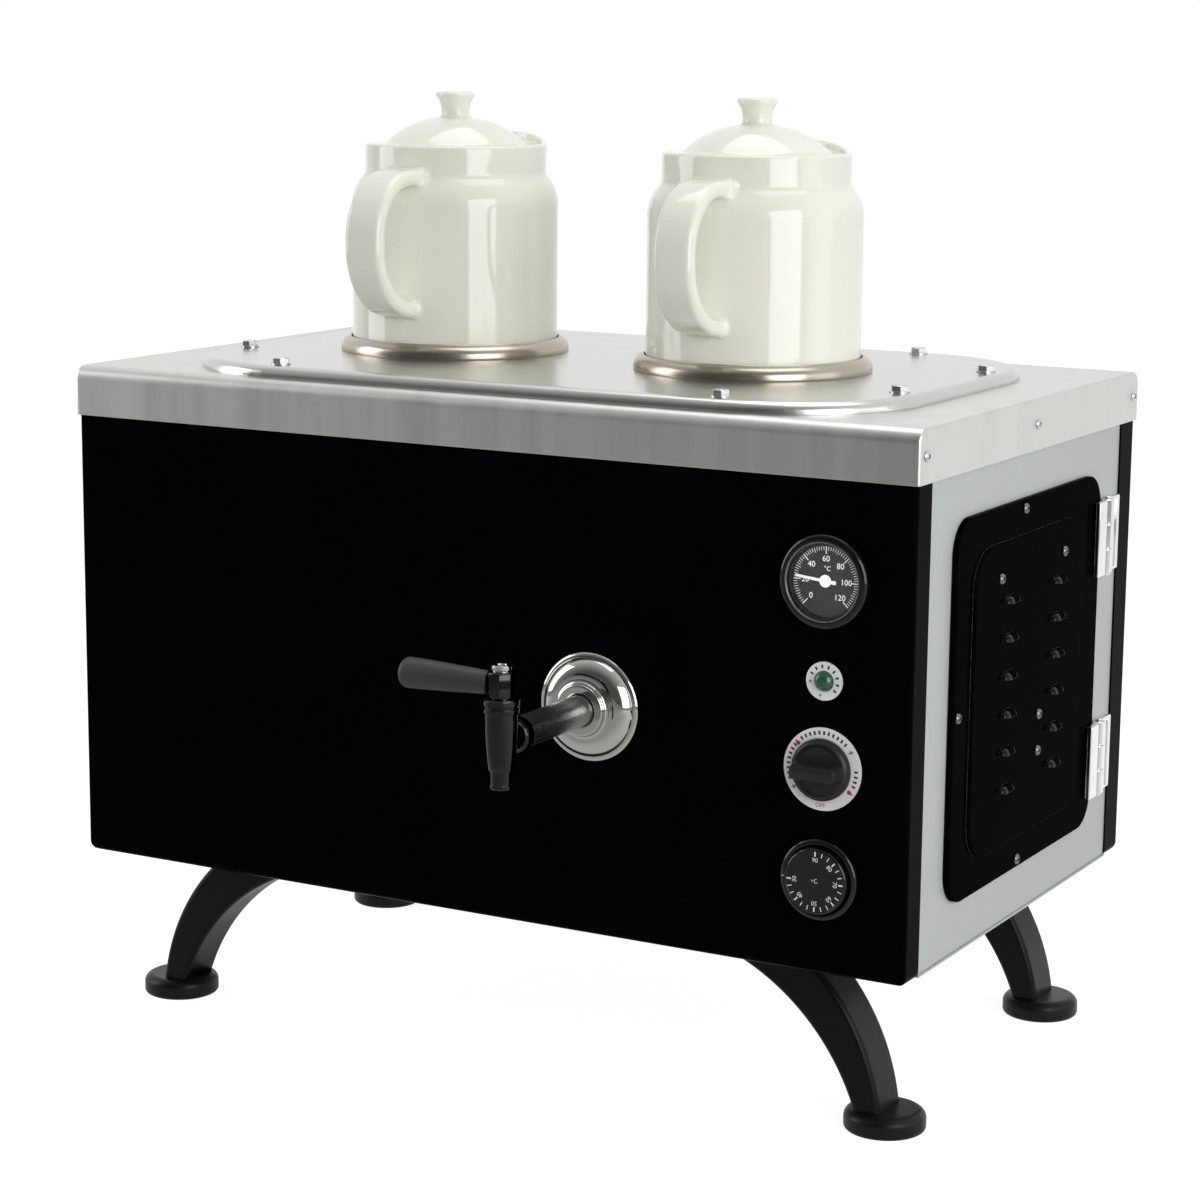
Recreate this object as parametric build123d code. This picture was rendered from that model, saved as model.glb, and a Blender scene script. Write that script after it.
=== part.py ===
from build123d import *
import os

# Twin-pot tea maker: a sheet-metal cabinet on four legs holds a heated water tank.
# Two porcelain teapots stand in collars on its raised deck, and a tap draws hot water at the front.
# Millimetres, +Z up, front towards -Y, floor at Z = 0. The pieces are laid out around the middle
# of the cabinet, and the whole part is then set with the middle of its base at the origin.

# Fits and clearances
SLIP = 0.3          # air gap between pieces that slide past or lie beside each other
RUNNING = 0.05      # radial play of a shaft or pin that turns in a hole
SEAT = 0.02         # radial play of a round piece that is fixed in its hole
HOLE_PLAY = 0.4     # radial play of a screw or tube in a sheet-metal hole
PANEL_PLAY = 0.05   # air between an end panel and the returns that it lies against
CUT = 5.0           # how far a cutting tool runs past the face it opens

# Steel top cover
COVER_W = 630.0
COVER_D = 382.0
COVER_TOP = 458.0
SKIRT_H = 34.0
COVER_T = 1.2
COVER_BEND = 9.0
END_BEND = 2.0

# Cabinet panels
SHEET = 1.2
PANEL_BEND = 3.0
FOOT_BEND = 6.0
UNDERSIDE = 114.0
FRONT_RETURN = 22.0
REAR_RETURN = 26.0
PANEL_LAP = 24.0    # how far the panels run up behind the cover's skirt
BASE_T = 1.5
COVER_SCREW_R = 1.9
COVER_SCREW_HEAD_R = 3.5
COVER_SCREW_HEAD_H = 2.0
COVER_SCREW_GRIP = 6.0
COVER_SCREW_INSET = 10.5

# Legs and feet
FOOT_INSET = 37.0       # from the cover's end to the middle of a foot
FOOT_FRONT_INSET = 60.0
FOOT_REAR_INSET = 50.0
FOOT_R = 26.5
FOOT_H = 14.0
FOOT_ROUND = 6.0
LEG_DEPTH = 36.0
LEG_ROUND = 4.0
LEG_TOP_IN = 179.0      # from the cover's end to where the leg's hollow side meets the cabinet
LEG_TOP_OUT = 92.0      # the same for its round side
LEG_TOE = 2.0           # thickness of the leg's inner end under the base
LEG_MID_Z = 66.0
LEG_MID_IN = 84.0       # from the cover's end to both sides at that height
LEG_MID_OUT = 50.5
LEG_ANKLE_IN = 52.5     # and at the foot
LEG_ANKLE_OUT = 34.0
LEG_BOLT_R = 4.0
LEG_BOLT_GRIP = 14.0
LEG_BOLT_HEAD_R = 7.5
LEG_BOLT_HEAD_H = 5.0
LEG_BOLT_INSETS = (12.0, 42.0)      # from the leg's round side, along the base

# Raised deck and its bolts
DECK_RIM_LEFT = 55.5    # cover left bare beside the deck
DECK_RIM_RIGHT = 43.5
DECK_RIM_FRONT = 8.0
DECK_RIM_REAR = 38.0
DECK_H = 8.0
DECK_T = 2.0
DECK_CORNER = 95.0
DECK_ROLL = 7.0
DECK_BOLT_R = 3.0
DECK_BOLT_CORNER_R = 5.8
DECK_BOLT_HEAD_H = 4.6
DECK_NUT_H = 5.0
DECK_BOLT_INSETS = ((16.5, 97.0), (100.5, 15.0))       # from the deck's end and from its long side
GASKET_W = 16.0
MOUTH_CORNER = 30.0

# Pots, lids and collars
POT_X = 117.0
POT_R = 72.0
POT_WALL = 4.5
POT_FOOT_ROUND = 5.0
POT_SHOULDER_Z = 100.0
POT_NECK_Z = 128.0
POT_NECK_R = 62.5
POT_RIM_Z = 143.0
LID_LEDGE_W = 5.0
LID_LEDGE_DROP = 4.0
LID_SPIGOT_H = 8.0
LID_SPIGOT_WALL = 4.0
LID_DOME_R = 49.0
LID_DOME_H = 18.0
LID_DOME_MID_H = 12.6
LID_DOME_WALL = 5.0
KNOB_NECK_R = 10.0
KNOB_TOP_R = 13.5
KNOB_H = 17.5
HANDLE_STAND = 48.0     # from the pot's side to the outside of the handle
HANDLE_T = 11.0
HANDLE_W = 22.0
HANDLE_TOP_Z = 122.0
HANDLE_LOW_Z = 33.0
HANDLE_BEND_TOP = 40.0
HANDLE_BEND_LOW = 44.0
SPOUT_LOW_R = 13.0
SPOUT_LIP_R = 37.0
SPOUT_LOW_Z = 104.0
SPOUT_RISE = 7.0
SPOUT_LOW_Y = 43.0
SPOUT_LIP_Y = 43.0
SPOUT_WALL = 3.5
COLLAR_FOOT_W = 7.0
COLLAR_TOP_W = 4.0
COLLAR_H = 10.0
COLLAR_ROUND = 1.6
COLLAR_PLAY = 1.0
POT_HOLE_R = 52.0

# Water tank and its heaters
TANK_INSET_W = 47.5     # from the deck's ends and long sides to the tank
TANK_INSET_D = 38.0
TANK_BOTTOM = 237.0
TANK_WALL = 1.5
TANK_CORNER = 10.0
TANK_FLANGE = 10.0
ELEMENT_R = 4.0
ELEMENT_Y = (0.0, 44.0)
ELEMENT_Z = 257.0
ELEMENT_END_ROOM = 66.0     # from the element's turn to the far wall of the tank
ELEMENT_TAIL = 16.0
ELEMENT_FLANGE_R = 36.0
ELEMENT_FLANGE_T = 4.0
BURNER_R = 15.0
BURNER_WALL = 1.5
BURNER_Z = 173.0
BURNER_INSETS = (28.0, 68.0)        # from the tank's left and right walls
BURNER_PORT_R = 1.5
BURNER_PORTS = 18
BURNER_STAND_INSET = 40.0
BURNER_STAND_T = 3.0
BURNER_STAND_W = 44.0
GAS_PIPE_R = 5.0
GAS_PIPE_BORE = 3.5
GAS_PIPE_RUN = 45.0     # from the burner's end to the pipe's way to the rear
GAS_PIPE_BEND = 20.0
GAS_VALVE_Y = 100.0
GAS_VALVE_L = 46.0
GAS_VALVE_W = 30.0
GAS_INLET_HEX_R = 12.0
GAS_INLET_HEX_H = 8.0
GAS_INLET_R = 6.0
GAS_INLET_L = 18.0

# Supply lead entry and terminals
GLAND_INSET = 53.0      # from the cover's end
GLAND_Z = 155.0
GLAND_R = 9.0
GLAND_HEX_R = 13.0
GLAND_HEX_H = 7.0
GLAND_NOSE_L = 12.0
GLAND_BORE = 4.5
TERMINAL_INSET = 53.0
TERMINAL_Y = 70.0
TERMINAL_W = 34.0
TERMINAL_L = 64.0
TERMINAL_H = 26.0
TERMINAL_WAYS = 4
TERMINAL_SCREW_R = 4.0

# Tap
TAP_X = 92.5
TAP_Z = 265.0
TAP_REACH = 109.5       # from the front panel to the barrel's axis
ROSE_R = 35.5
ROSE_RIM_H = 2.8
ROSE_RIM_ROUND = 2.2
ROSE_SHOULDER_R = 28.4
ROSE_SHOULDER_H = 8.8
ROSE_H = 11.0
ROSE_HUB_R = 17.0
ROSE_HUB_H = 15.0
PIPE_R = 10.0
PIPE_BORE = 6.0
PIPE_SHOULDER_R = 15.0
PIPE_SHOULDER_T = 4.0
PIPE_TAIL = 22.0
BOSS_R = 11.0
BOSS_L = 22.0
BARREL_TOP = 291.0
BARREL_LOW = 246.0
BARREL_TOP_R = 11.2
BARREL_LOW_R = 8.2
BARREL_RING_H = 9.0
NOZZLE_R = 7.2
NOZZLE_H = 11.0
NOZZLE_BORE = 5.0
CORE_R = 6.0
CORE_L = 38.0
CORE_PORT_R = 3.5
HEAD_ACROSS = 16.5
HEAD_SIDES = 8
HEAD_H = 16.0
HEAD_GAP = 0.6
TAP_CAP_R = 6.2
TAP_CAP_H = 4.0
GRIP_L = 62.0
GRIP_NEAR_R = 7.1
GRIP_FAR_R = 9.9
GRIP_ROUND = 5.0
BACK_NUT_R = 15.5
BACK_NUT_H = 8.0

# Controls on the front panel
CONTROL_INSET = 59.0    # from the cover's right end to the column of controls
THERMO_Z = 362.0
THERMO_R = 29.5
THERMO_H = 8.0
THERMO_FACE_R = 25.5
THERMO_LIP = 1.5
THERMO_CAN_R = 26.0
THERMO_CAN_L = 40.0
THERMO_WALL = 1.5
DIAL_T = 0.8
GLASS_T = 1.5
NEEDLE_T = 0.8
NEEDLE_L = 20.0
NEEDLE_TAIL = 7.0
NEEDLE_ROOT_W = 1.8
NEEDLE_TIP_W = 0.7
NEEDLE_HUB_R = 3.2
NEEDLE_SHAFT_R = 0.8
NEEDLE_SHAFT_L = 8.0
NEEDLE_BUSH_R = 4.0
NEEDLE_REST = 52.0      # turn of the needle past the low end of its scale
SCALE_LOW = 225.0       # where the scale starts, counted from three o'clock
PROBE_TUBE_R = 1.2
PROBE_BEND = 15.0
PROBE_NUT_R = 9.0
PROBE_NUT_T = 8.0
PROBE_BULB_R = 3.5
PROBE_BULB_L = 70.0
THERMO_PROBE_INSET = 45.0       # from the tank's front wall
STAT_PROBE_INSET = 33.0
STAT_PROBE_Z = 307.0
PILOT_Z = 300.0
PILOT_RING_R = 12.0
PILOT_RING_H = 1.5
PILOT_LENS_R = 6.2
PILOT_LENS_H = 5.5
PILOT_BODY_R = 5.4
PILOT_BODY_L = 30.0
SELECTOR_Z = 245.0
SELECTOR_PLATE_R = 26.0
SELECTOR_PLATE_T = 1.2
SELECTOR_R = 19.5
SELECTOR_SKIRT_H = 6.0
SELECTOR_H = 18.0
SELECTOR_BAR_W = 12.0
SELECTOR_ROUND = 2.0
SPINDLE_R = 3.0
SPINDLE_L = 20.0
BUSH_R = 5.0
SWITCH_W = 44.0
SWITCH_L = 36.0
STAT_Z = 175.6
STAT_BEZEL_R = 26.0
STAT_BEZEL_IN = 21.8
STAT_BEZEL_H = 5.0
STAT_DIAL_R = 21.2
STAT_DIAL_H = 9.0
STAT_ROUND = 2.0
STAT_BODY_W = 40.0
STAT_BODY_L = 34.0

# Door on the right end
DOOR_Y = -5.5
DOOR_Z = 272.5
DOOR_W = 251.0
DOOR_H = 245.0
DOOR_CORNER = 22.0
DOOR_DEPTH = 4.0
DOOR_SKIN = 1.5
DOOR_LAP = 12.0         # how far the door covers the panel round its opening
EMBOSS_W = 187.0
EMBOSS_H = 200.0
EMBOSS_Y = -12.0
EMBOSS_CORNER = 26.0
EMBOSS_RISE = 2.5
EMBOSS_ROUND = 1.2
LOUVRE_Y = (-49.0, 35.0)
LOUVRE_TOP_Z = 333.0
LOUVRE_PITCH = 24.8
LOUVRE_ROWS = 6
LOUVRE_R = 4.5
LOUVRE_L = 20.0
LOUVRE_WALL = 1.0
DOOR_SCREW_R = 1.9
DOOR_SCREW_HEAD_R = 3.6
DOOR_SCREW_HEAD_H = 2.2
PANEL_SCREWS = ((-65.0, 350.0), (46.0, 352.0), (8.0, 249.0), (8.0, 224.5))
FLANGE_SCREWS = ((-21.0, 389.0), (-16.5, 156.0), (-124.5, 271.0))
HINGE_Y = 130.0
HINGE_Z = (350.5, 195.0)
HINGE_H = 52.0
LEAF_W = 24.0
LEAF_T = 2.5
KNUCKLE_R = 4.5
HINGE_PIN_R = 2.0
HINGE_PIN_HEAD_R = 3.0
HINGE_PIN_HEAD_H = 1.5

# Places that follow from the sizes above
BODY_X = COVER_W / 2 - COVER_T - SLIP
BODY_Y = COVER_D / 2 - COVER_T - SLIP
COVER_UNDER = COVER_TOP - COVER_T
SKIRT_BOTTOM = COVER_TOP - SKIRT_H
PANEL_TOP = SKIRT_BOTTOM + PANEL_LAP
FLANGE_TOP = UNDERSIDE + SHEET
BASE_TOP = FLANGE_TOP + BASE_T
END_OUT = BODY_X - SHEET - PANEL_PLAY
END_IN = END_OUT - SHEET
END_HALF = BODY_Y - COVER_SCREW_INSET - SLIP
FRONT = -BODY_Y
FRONT_IN = FRONT + SHEET
REAR = BODY_Y
REAR_IN = REAR - SHEET
COVER_SCREW_Y = BODY_Y - COVER_SCREW_INSET + COVER_SCREW_R
COVER_SCREW_Z = SKIRT_BOTTOM + SKIRT_H / 2
FOOT_X = COVER_W / 2 - FOOT_INSET
FOOT_FRONT_Y = -COVER_D / 2 + FOOT_FRONT_INSET
FOOT_REAR_Y = COVER_D / 2 - FOOT_REAR_INSET
CONTROL_X = COVER_W / 2 - CONTROL_INSET
GLAND_X = COVER_W / 2 - GLAND_INSET
TERMINAL_X = COVER_W / 2 - TERMINAL_INSET
DECK_W = COVER_W - DECK_RIM_LEFT - DECK_RIM_RIGHT
DECK_D = COVER_D - DECK_RIM_FRONT - DECK_RIM_REAR
DECK_X = (DECK_RIM_LEFT - DECK_RIM_RIGHT) / 2
DECK_Y = (DECK_RIM_FRONT - DECK_RIM_REAR) / 2
DECK_TOP = COVER_TOP + DECK_H
DECK_UNDER = DECK_TOP - DECK_T
POT_BASE = DECK_TOP + SLIP
COLLAR_BORE = POT_R + COLLAR_PLAY
TANK_W = DECK_W - 2 * TANK_INSET_W
TANK_D = DECK_D - 2 * TANK_INSET_D
TANK_TOP = COVER_UNDER
TANK_FRONT = DECK_Y - TANK_D / 2
TANK_RIGHT = TANK_W / 2
THERMO_PROBE_Y = TANK_FRONT + THERMO_PROBE_INSET
STAT_PROBE_Y = TANK_FRONT + STAT_PROBE_INSET
ELEMENT_TURN = ELEMENT_END_ROOM - TANK_RIGHT
BURNER_X = (BURNER_INSETS[0] - TANK_RIGHT, TANK_RIGHT - BURNER_INSETS[1])
BURNER_STAND_X = (BURNER_X[0] + BURNER_STAND_INSET, BURNER_X[1] - BURNER_STAND_INSET)
GAS_PIPE_X = BURNER_X[1] + GAS_PIPE_RUN
TAP_Y = FRONT - TAP_REACH
BARREL_BOSS_Y = TAP_Y + BOSS_L
HEAD_Z = BARREL_TOP + HEAD_GAP
DOOR_BACK = END_OUT + SLIP
DOOR_FACE = DOOR_BACK + DOOR_DEPTH
EMBOSS_FACE = DOOR_FACE + EMBOSS_RISE
HINGE_X = DOOR_FACE + LEAF_T / 2


def block(x_span, y_span, z_span):
    """A box between two limits on each axis."""
    size = [high - low for low, high in (x_span, y_span, z_span)]
    middle = [(low + high) / 2 for low, high in (x_span, y_span, z_span)]
    return Pos(*middle) * Box(*size)


def rod(radius, start, end):
    """A round bar from one point to another."""
    way = Vector(*end) - Vector(*start)
    return Solid.make_cylinder(radius, way.length, Plane(origin=start, z_dir=way))


def hexagon(corner_radius, height, plane):
    """A six-sided bar that stands on a plane."""
    return extrude(plane * RegularPolygon(corner_radius, 6), height)


def turned(outline, rounds=()):
    """A solid of revolution about +Z from (radius, height) points, with some corners rounded."""
    face = make_face(Plane.XZ * Polyline(*outline, close=True))
    for corner, radius in rounds:
        point = (corner[0], 0, corner[1])
        face = fillet(face.vertices().sort_by_distance(point)[0], radius)
    return revolve(face, Axis.Z)


def facing_front(x, z, y=FRONT):
    """A plane on the front panel whose own Z points out of the panel, towards the user."""
    return Plane(origin=(x, y, z), x_dir=(1, 0, 0), z_dir=(0, -1, 0))


def on_front(x, z, solid, y=FRONT):
    """Set a turned solid on the front panel, its height pointing towards the user."""
    return facing_front(x, z, y).location * solid


def both_sides(solid):
    """A solid and its mirror image across the middle of the cabinet."""
    return [solid, mirror(solid, Plane.YZ)]


def four_corners(solid):
    """A solid made at y = 0 for the right side, copied to the four legs' places."""
    pair = both_sides(solid)
    return [Pos(0, y, 0) * piece for y in (FOOT_FRONT_Y, FOOT_REAR_Y) for piece in pair]


def group(solids):
    """Separate solids kept together in one node."""
    return Compound([piece.solid() for piece in solids])


# Cabinet

def tray(depth):
    """A front tray bent from one sheet: face, two side returns and a bottom flange."""
    outer = block((-BODY_X, BODY_X), (FRONT, FRONT + depth), (UNDERSIDE, PANEL_TOP))
    inner = block(
        (-BODY_X + SHEET, BODY_X - SHEET),
        (FRONT + SHEET, FRONT + depth + CUT),
        (UNDERSIDE + SHEET, PANEL_TOP + CUT),
    )
    shells = []
    for solid, skin in ((outer, 0), (inner, SHEET)):
        upright = solid.faces().sort_by(Axis.Y)[0].edges().filter_by(Axis.Z)
        bent = fillet(upright, PANEL_BEND - skin)
        foot = bent.faces().sort_by(Axis.Y)[0].edges().filter_by(Axis.X).sort_by(Axis.Z)[0]
        shells.append(fillet(foot, FOOT_BEND - skin))
    return shells[0] - shells[1]


COVER_SCREW_PLACES = [(y, COVER_SCREW_Z) for y in (-COVER_SCREW_Y, 0.0, COVER_SCREW_Y)]


def screw_holes(radius):
    """Holes for the skirt screws, through both ends of the cabinet."""
    reach = COVER_W / 2 + CUT
    return [rod(radius, (-reach, y, z), (reach, y, z)) for y, z in COVER_SCREW_PLACES]


def make_front_panel():
    """Front tray with its openings for the tap and the controls."""
    panel = tray(FRONT_RETURN)
    openings = (
        (TAP_X, TAP_Z, PIPE_R + HOLE_PLAY),
        (CONTROL_X, THERMO_Z, THERMO_CAN_R + HOLE_PLAY),
        (CONTROL_X, PILOT_Z, PILOT_BODY_R + HOLE_PLAY),
        (CONTROL_X, SELECTOR_Z, BUSH_R + HOLE_PLAY),
        (CONTROL_X, STAT_Z, BUSH_R + HOLE_PLAY),
    )
    for x, z, radius in openings:
        panel -= rod(radius, (x, FRONT - CUT, z), (x, FRONT_IN + CUT, z))
    for hole in screw_holes(COVER_SCREW_R + HOLE_PLAY):
        panel -= hole
    return panel


def make_rear_panel():
    """Rear tray with its openings for the supply lead and the gas inlet."""
    panel = mirror(tray(REAR_RETURN), Plane.XZ)
    for x, z, radius in ((GLAND_X, GLAND_Z, GLAND_R), (GAS_PIPE_X, BURNER_Z, GAS_INLET_R)):
        panel -= rod(radius + HOLE_PLAY, (x, REAR_IN - CUT, z), (x, REAR + CUT, z))
    for hole in screw_holes(COVER_SCREW_R + HOLE_PLAY):
        panel -= hole
    return panel


def leg_spot(inset, z):
    """A point on a right-hand leg's outline, counted in from the cover's end."""
    return (COVER_W / 2 - inset, z)


def leg_bolt_places():
    """Where the two bolts of a right-hand leg lie along X."""
    return [leg_spot(LEG_TOP_OUT + inset, 0)[0] for inset in LEG_BOLT_INSETS]


def make_base_plate():
    """Floor of the cabinet: it lies on the trays' flanges and reaches out under the end panels."""
    inset = FOOT_BEND + SLIP
    floor = block((-BODY_X + inset, BODY_X - inset), (FRONT + inset, REAR - inset), (FLANGE_TOP, BASE_TOP))
    lip = block(
        (-BODY_X, BODY_X),
        (FRONT + FRONT_RETURN + SLIP, REAR - REAR_RETURN - SLIP),
        (FLANGE_TOP, BASE_TOP),
    )
    plate = floor + lip
    for x in leg_bolt_places():
        hole = rod(LEG_BOLT_R + HOLE_PLAY, (x, 0, FLANGE_TOP - CUT), (x, 0, BASE_TOP + CUT))
        for each in four_corners(hole):
            plate -= each
    return plate


def door_outline(inset, corner):
    """Rounded outline of the door, or of its opening, on the right end."""
    plane = Plane(origin=(0, DOOR_Y, DOOR_Z), x_dir=(0, 1, 0), z_dir=(1, 0, 0))
    return plane * RectangleRounded(DOOR_W - 2 * inset, DOOR_H - 2 * inset, corner)


def make_end_panel(side):
    """Flat end panel behind the trays' returns, standing on the base and carrying the cover."""
    panel = block((END_IN, END_OUT), (-END_HALF, END_HALF), (BASE_TOP, COVER_UNDER))
    front_corner = (-END_HALF - CUT, FRONT + FRONT_RETURN + SLIP)
    rear_corner = (REAR - REAR_RETURN - SLIP, END_HALF + CUT)
    bend_top = UNDERSIDE + FOOT_BEND + SLIP
    for corner in (front_corner, rear_corner):
        panel -= block((END_IN - CUT, END_OUT + CUT), corner, (BASE_TOP - CUT, bend_top))
    if side > 0:
        opening = Pos(END_IN - CUT, 0, 0) * door_outline(DOOR_LAP, DOOR_CORNER - DOOR_LAP / 2)
        panel -= extrude(opening, SHEET + 2 * CUT)
    else:
        panel = mirror(panel, Plane.YZ)
    return panel - screw_holes(COVER_SCREW_R + HOLE_PLAY)[1]


def cover_form(half_x, half_y, low, high, bend):
    """A lid-shaped block whose front and rear top edges are bent round."""
    form = block((-half_x, half_x), (-half_y, half_y), (low, high))
    return fillet(form.edges().filter_by(Axis.X).group_by(Axis.Z)[-1], bend)


def mouth_outline(growth):
    """Rounded outline of the tank's mouth, grown by a margin."""
    inside = TANK_WALL - growth
    corner = MOUTH_CORNER + growth
    return Pos(0, DECK_Y) * RectangleRounded(TANK_W - 2 * inside, TANK_D - 2 * inside, corner)


def deck_bolt_places():
    """Middles of the eight deck bolts, in four mirrored pairs."""
    places = []
    for end_inset, side_inset in DECK_BOLT_INSETS:
        x = DECK_W / 2 - end_inset
        y = DECK_D / 2 - side_inset
        places += [(DECK_X + x * side, DECK_Y + y * end) for side in (-1, 1) for end in (-1, 1)]
    return places


def make_top_cover():
    """Steel cover with a skirt, open over the tank's mouth."""
    outer = cover_form(COVER_W / 2, COVER_D / 2, SKIRT_BOTTOM, COVER_TOP, COVER_BEND)
    upper = COVER_TOP - COVER_BEND
    rims = [edge for face in outer.faces().filter_by(Axis.X) for edge in face.edges()]
    outer = fillet([edge for edge in rims if edge.center().Z > upper], END_BEND)
    inner = cover_form(
        COVER_W / 2 - COVER_T,
        COVER_D / 2 - COVER_T,
        SKIRT_BOTTOM - CUT,
        COVER_UNDER,
        COVER_BEND - COVER_T,
    )
    cover = outer - inner
    cover -= extrude(Pos(0, 0, COVER_UNDER - CUT) * mouth_outline(0), COVER_T + 2 * CUT)
    for x, y in deck_bolt_places():
        cover -= rod(DECK_BOLT_R + HOLE_PLAY, (x, y, COVER_UNDER - CUT), (x, y, COVER_TOP + CUT))
    for hole in screw_holes(COVER_SCREW_R + HOLE_PLAY):
        cover -= hole
    return cover


def make_cover_screws():
    """Six pan-head screws that hold the skirt to the ends of the cabinet."""
    screws = []
    for y, z in COVER_SCREW_PLACES:
        seat = (COVER_W / 2, y, z)
        head = rod(COVER_SCREW_HEAD_R, seat, (COVER_W / 2 + COVER_SCREW_HEAD_H, y, z))
        head = fillet(head.edges().sort_by(Axis.X)[-1], COVER_SCREW_HEAD_H / 2)
        shank = rod(COVER_SCREW_R, (END_OUT - COVER_SCREW_GRIP, y, z), seat)
        screws += both_sides(head + shank)
    return group(screws)


# Legs

def make_leg():
    """A right-hand leg: a curved bracket that sweeps outwards to its foot."""
    ankle_out = leg_spot(LEG_ANKLE_OUT, FOOT_H)
    ankle_in = leg_spot(LEG_ANKLE_IN, FOOT_H)
    top_out = leg_spot(LEG_TOP_OUT, FLANGE_TOP)
    top_in = leg_spot(LEG_TOP_IN, FLANGE_TOP)
    toe_end = leg_spot(LEG_TOP_IN, FLANGE_TOP - LEG_TOE)
    round_side = ThreePointArc(ankle_out, leg_spot(LEG_MID_OUT, LEG_MID_Z), top_out)
    hollow_side = ThreePointArc(toe_end, leg_spot(LEG_MID_IN, LEG_MID_Z), ankle_in)
    top_and_toe = Polyline(top_out, top_in, toe_end)
    ankle = Line(ankle_in, ankle_out)
    outline = make_face([round_side, *top_and_toe.edges(), hollow_side, ankle])
    leg = extrude(Plane.XZ * outline, LEG_DEPTH / 2, both=True)
    curved = [edge for edge in leg.edges() if edge.geom_type == GeomType.CIRCLE]
    leg = fillet(curved, LEG_ROUND)
    for x in leg_bolt_places():
        leg -= rod(LEG_BOLT_R + SEAT, (x, 0, BASE_TOP - LEG_BOLT_GRIP), (x, 0, BASE_TOP + CUT))
    return leg


def make_foot():
    """Round foot pad under a right-hand leg."""
    outline = [(0, 0), (FOOT_R, 0), (FOOT_R, FOOT_H), (0, FOOT_H)]
    rounds = (((FOOT_R, 0), FOOT_ROUND / 2), ((FOOT_R, FOOT_H), FOOT_ROUND))
    return Pos(FOOT_X, 0, 0) * turned(outline, rounds)


def make_leg_bolts():
    """Hex bolts through the base into the legs."""
    bolts = []
    for x in leg_bolt_places():
        shank = rod(LEG_BOLT_R, (x, 0, BASE_TOP - LEG_BOLT_GRIP), (x, 0, BASE_TOP))
        head = hexagon(LEG_BOLT_HEAD_R, LEG_BOLT_HEAD_H, Plane(origin=(x, 0, BASE_TOP)))
        bolts += four_corners(shank + head)
    return group(bolts)


# Deck and pots

def deck_form(inset, low, high, roll):
    """A rounded slab with its top edge rolled over."""
    plan = RectangleRounded(DECK_W - 2 * inset, DECK_D - 2 * inset, DECK_CORNER - inset)
    form = extrude(Pos(DECK_X, DECK_Y, low) * plan, high - low)
    return fillet(form.faces().sort_by(Axis.Z)[-1].edges(), roll)


def make_deck_panel():
    """Pressed deck with a rolled rim, two pot openings and its bolt holes."""
    deck = deck_form(0, COVER_TOP, DECK_TOP, DECK_ROLL)
    deck -= deck_form(DECK_T, COVER_TOP - CUT, DECK_UNDER, DECK_ROLL - DECK_T)
    for x in (-POT_X, POT_X):
        deck -= rod(POT_HOLE_R, (x, DECK_Y, DECK_UNDER - CUT), (x, DECK_Y, DECK_TOP + CUT))
    for x, y in deck_bolt_places():
        deck -= rod(DECK_BOLT_R + HOLE_PLAY, (x, y, DECK_UNDER - CUT), (x, y, DECK_TOP + CUT))
    return deck


def make_deck_gasket():
    """Flat seal round the tank's mouth, between the cover and the deck."""
    ring = mouth_outline(GASKET_W) - mouth_outline(0)
    return extrude(Pos(0, 0, COVER_TOP) * ring, DECK_UNDER - COVER_TOP)


def make_deck_bolts():
    """Hex bolts through the deck and the cover, each with its nut."""
    pieces = []
    for x, y in deck_bolt_places():
        end = COVER_UNDER - DECK_NUT_H
        head = hexagon(DECK_BOLT_CORNER_R, DECK_BOLT_HEAD_H, Plane(origin=(x, y, DECK_TOP)))
        nut = hexagon(DECK_BOLT_CORNER_R, DECK_NUT_H, Plane(origin=(x, y, end)))
        nut -= rod(DECK_BOLT_R + SEAT, (x, y, end - CUT), (x, y, COVER_UNDER + CUT))
        pieces += [head + rod(DECK_BOLT_R, (x, y, end), (x, y, DECK_TOP)), nut]
    return group(pieces)


def make_collar(x):
    """Polished ring that locates a pot on the deck."""
    bore = COLLAR_BORE
    top_r = bore + COLLAR_TOP_W
    outline = [(bore, 0), (bore + COLLAR_FOOT_W, 0), (top_r, COLLAR_H), (bore, COLLAR_H)]
    rounds = (((top_r, COLLAR_H), COLLAR_ROUND), ((bore, COLLAR_H), COLLAR_ROUND))
    return Pos(x, DECK_Y, DECK_TOP) * turned(outline, rounds)


def spout_cone(wall):
    """The pouring lip's flared form, or its hollow when a wall is taken off."""
    low = Plane(origin=(0, SPOUT_LOW_Y - wall, SPOUT_LOW_Z)) * Circle(SPOUT_LOW_R - wall)
    high = Plane(origin=(0, SPOUT_LIP_Y, POT_RIM_Z + SPOUT_RISE)) * Circle(SPOUT_LIP_R - wall)
    return loft([low.face(), high.face()])


def make_handle():
    """Strap handle that leaves the shoulder, bends down and returns to the foot of the pot."""
    inner_y = -(POT_NECK_R - POT_WALL / 2)
    line_y = -(POT_R + HANDLE_STAND - HANDLE_T / 2)
    path = FilletPolyline(
        (0, inner_y, HANDLE_TOP_Z),
        (0, line_y, HANDLE_TOP_Z),
        (0, line_y, HANDLE_LOW_Z),
        (0, -(POT_R - POT_WALL / 2), HANDLE_LOW_Z),
        radius=[HANDLE_BEND_TOP, HANDLE_BEND_LOW],
    )
    start = Plane(origin=path @ 0, x_dir=(1, 0, 0), z_dir=path % 0)
    section = start * RectangleRounded(HANDLE_W, HANDLE_T, HANDLE_T / 2 - SLIP)
    return sweep(section, path)


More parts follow.
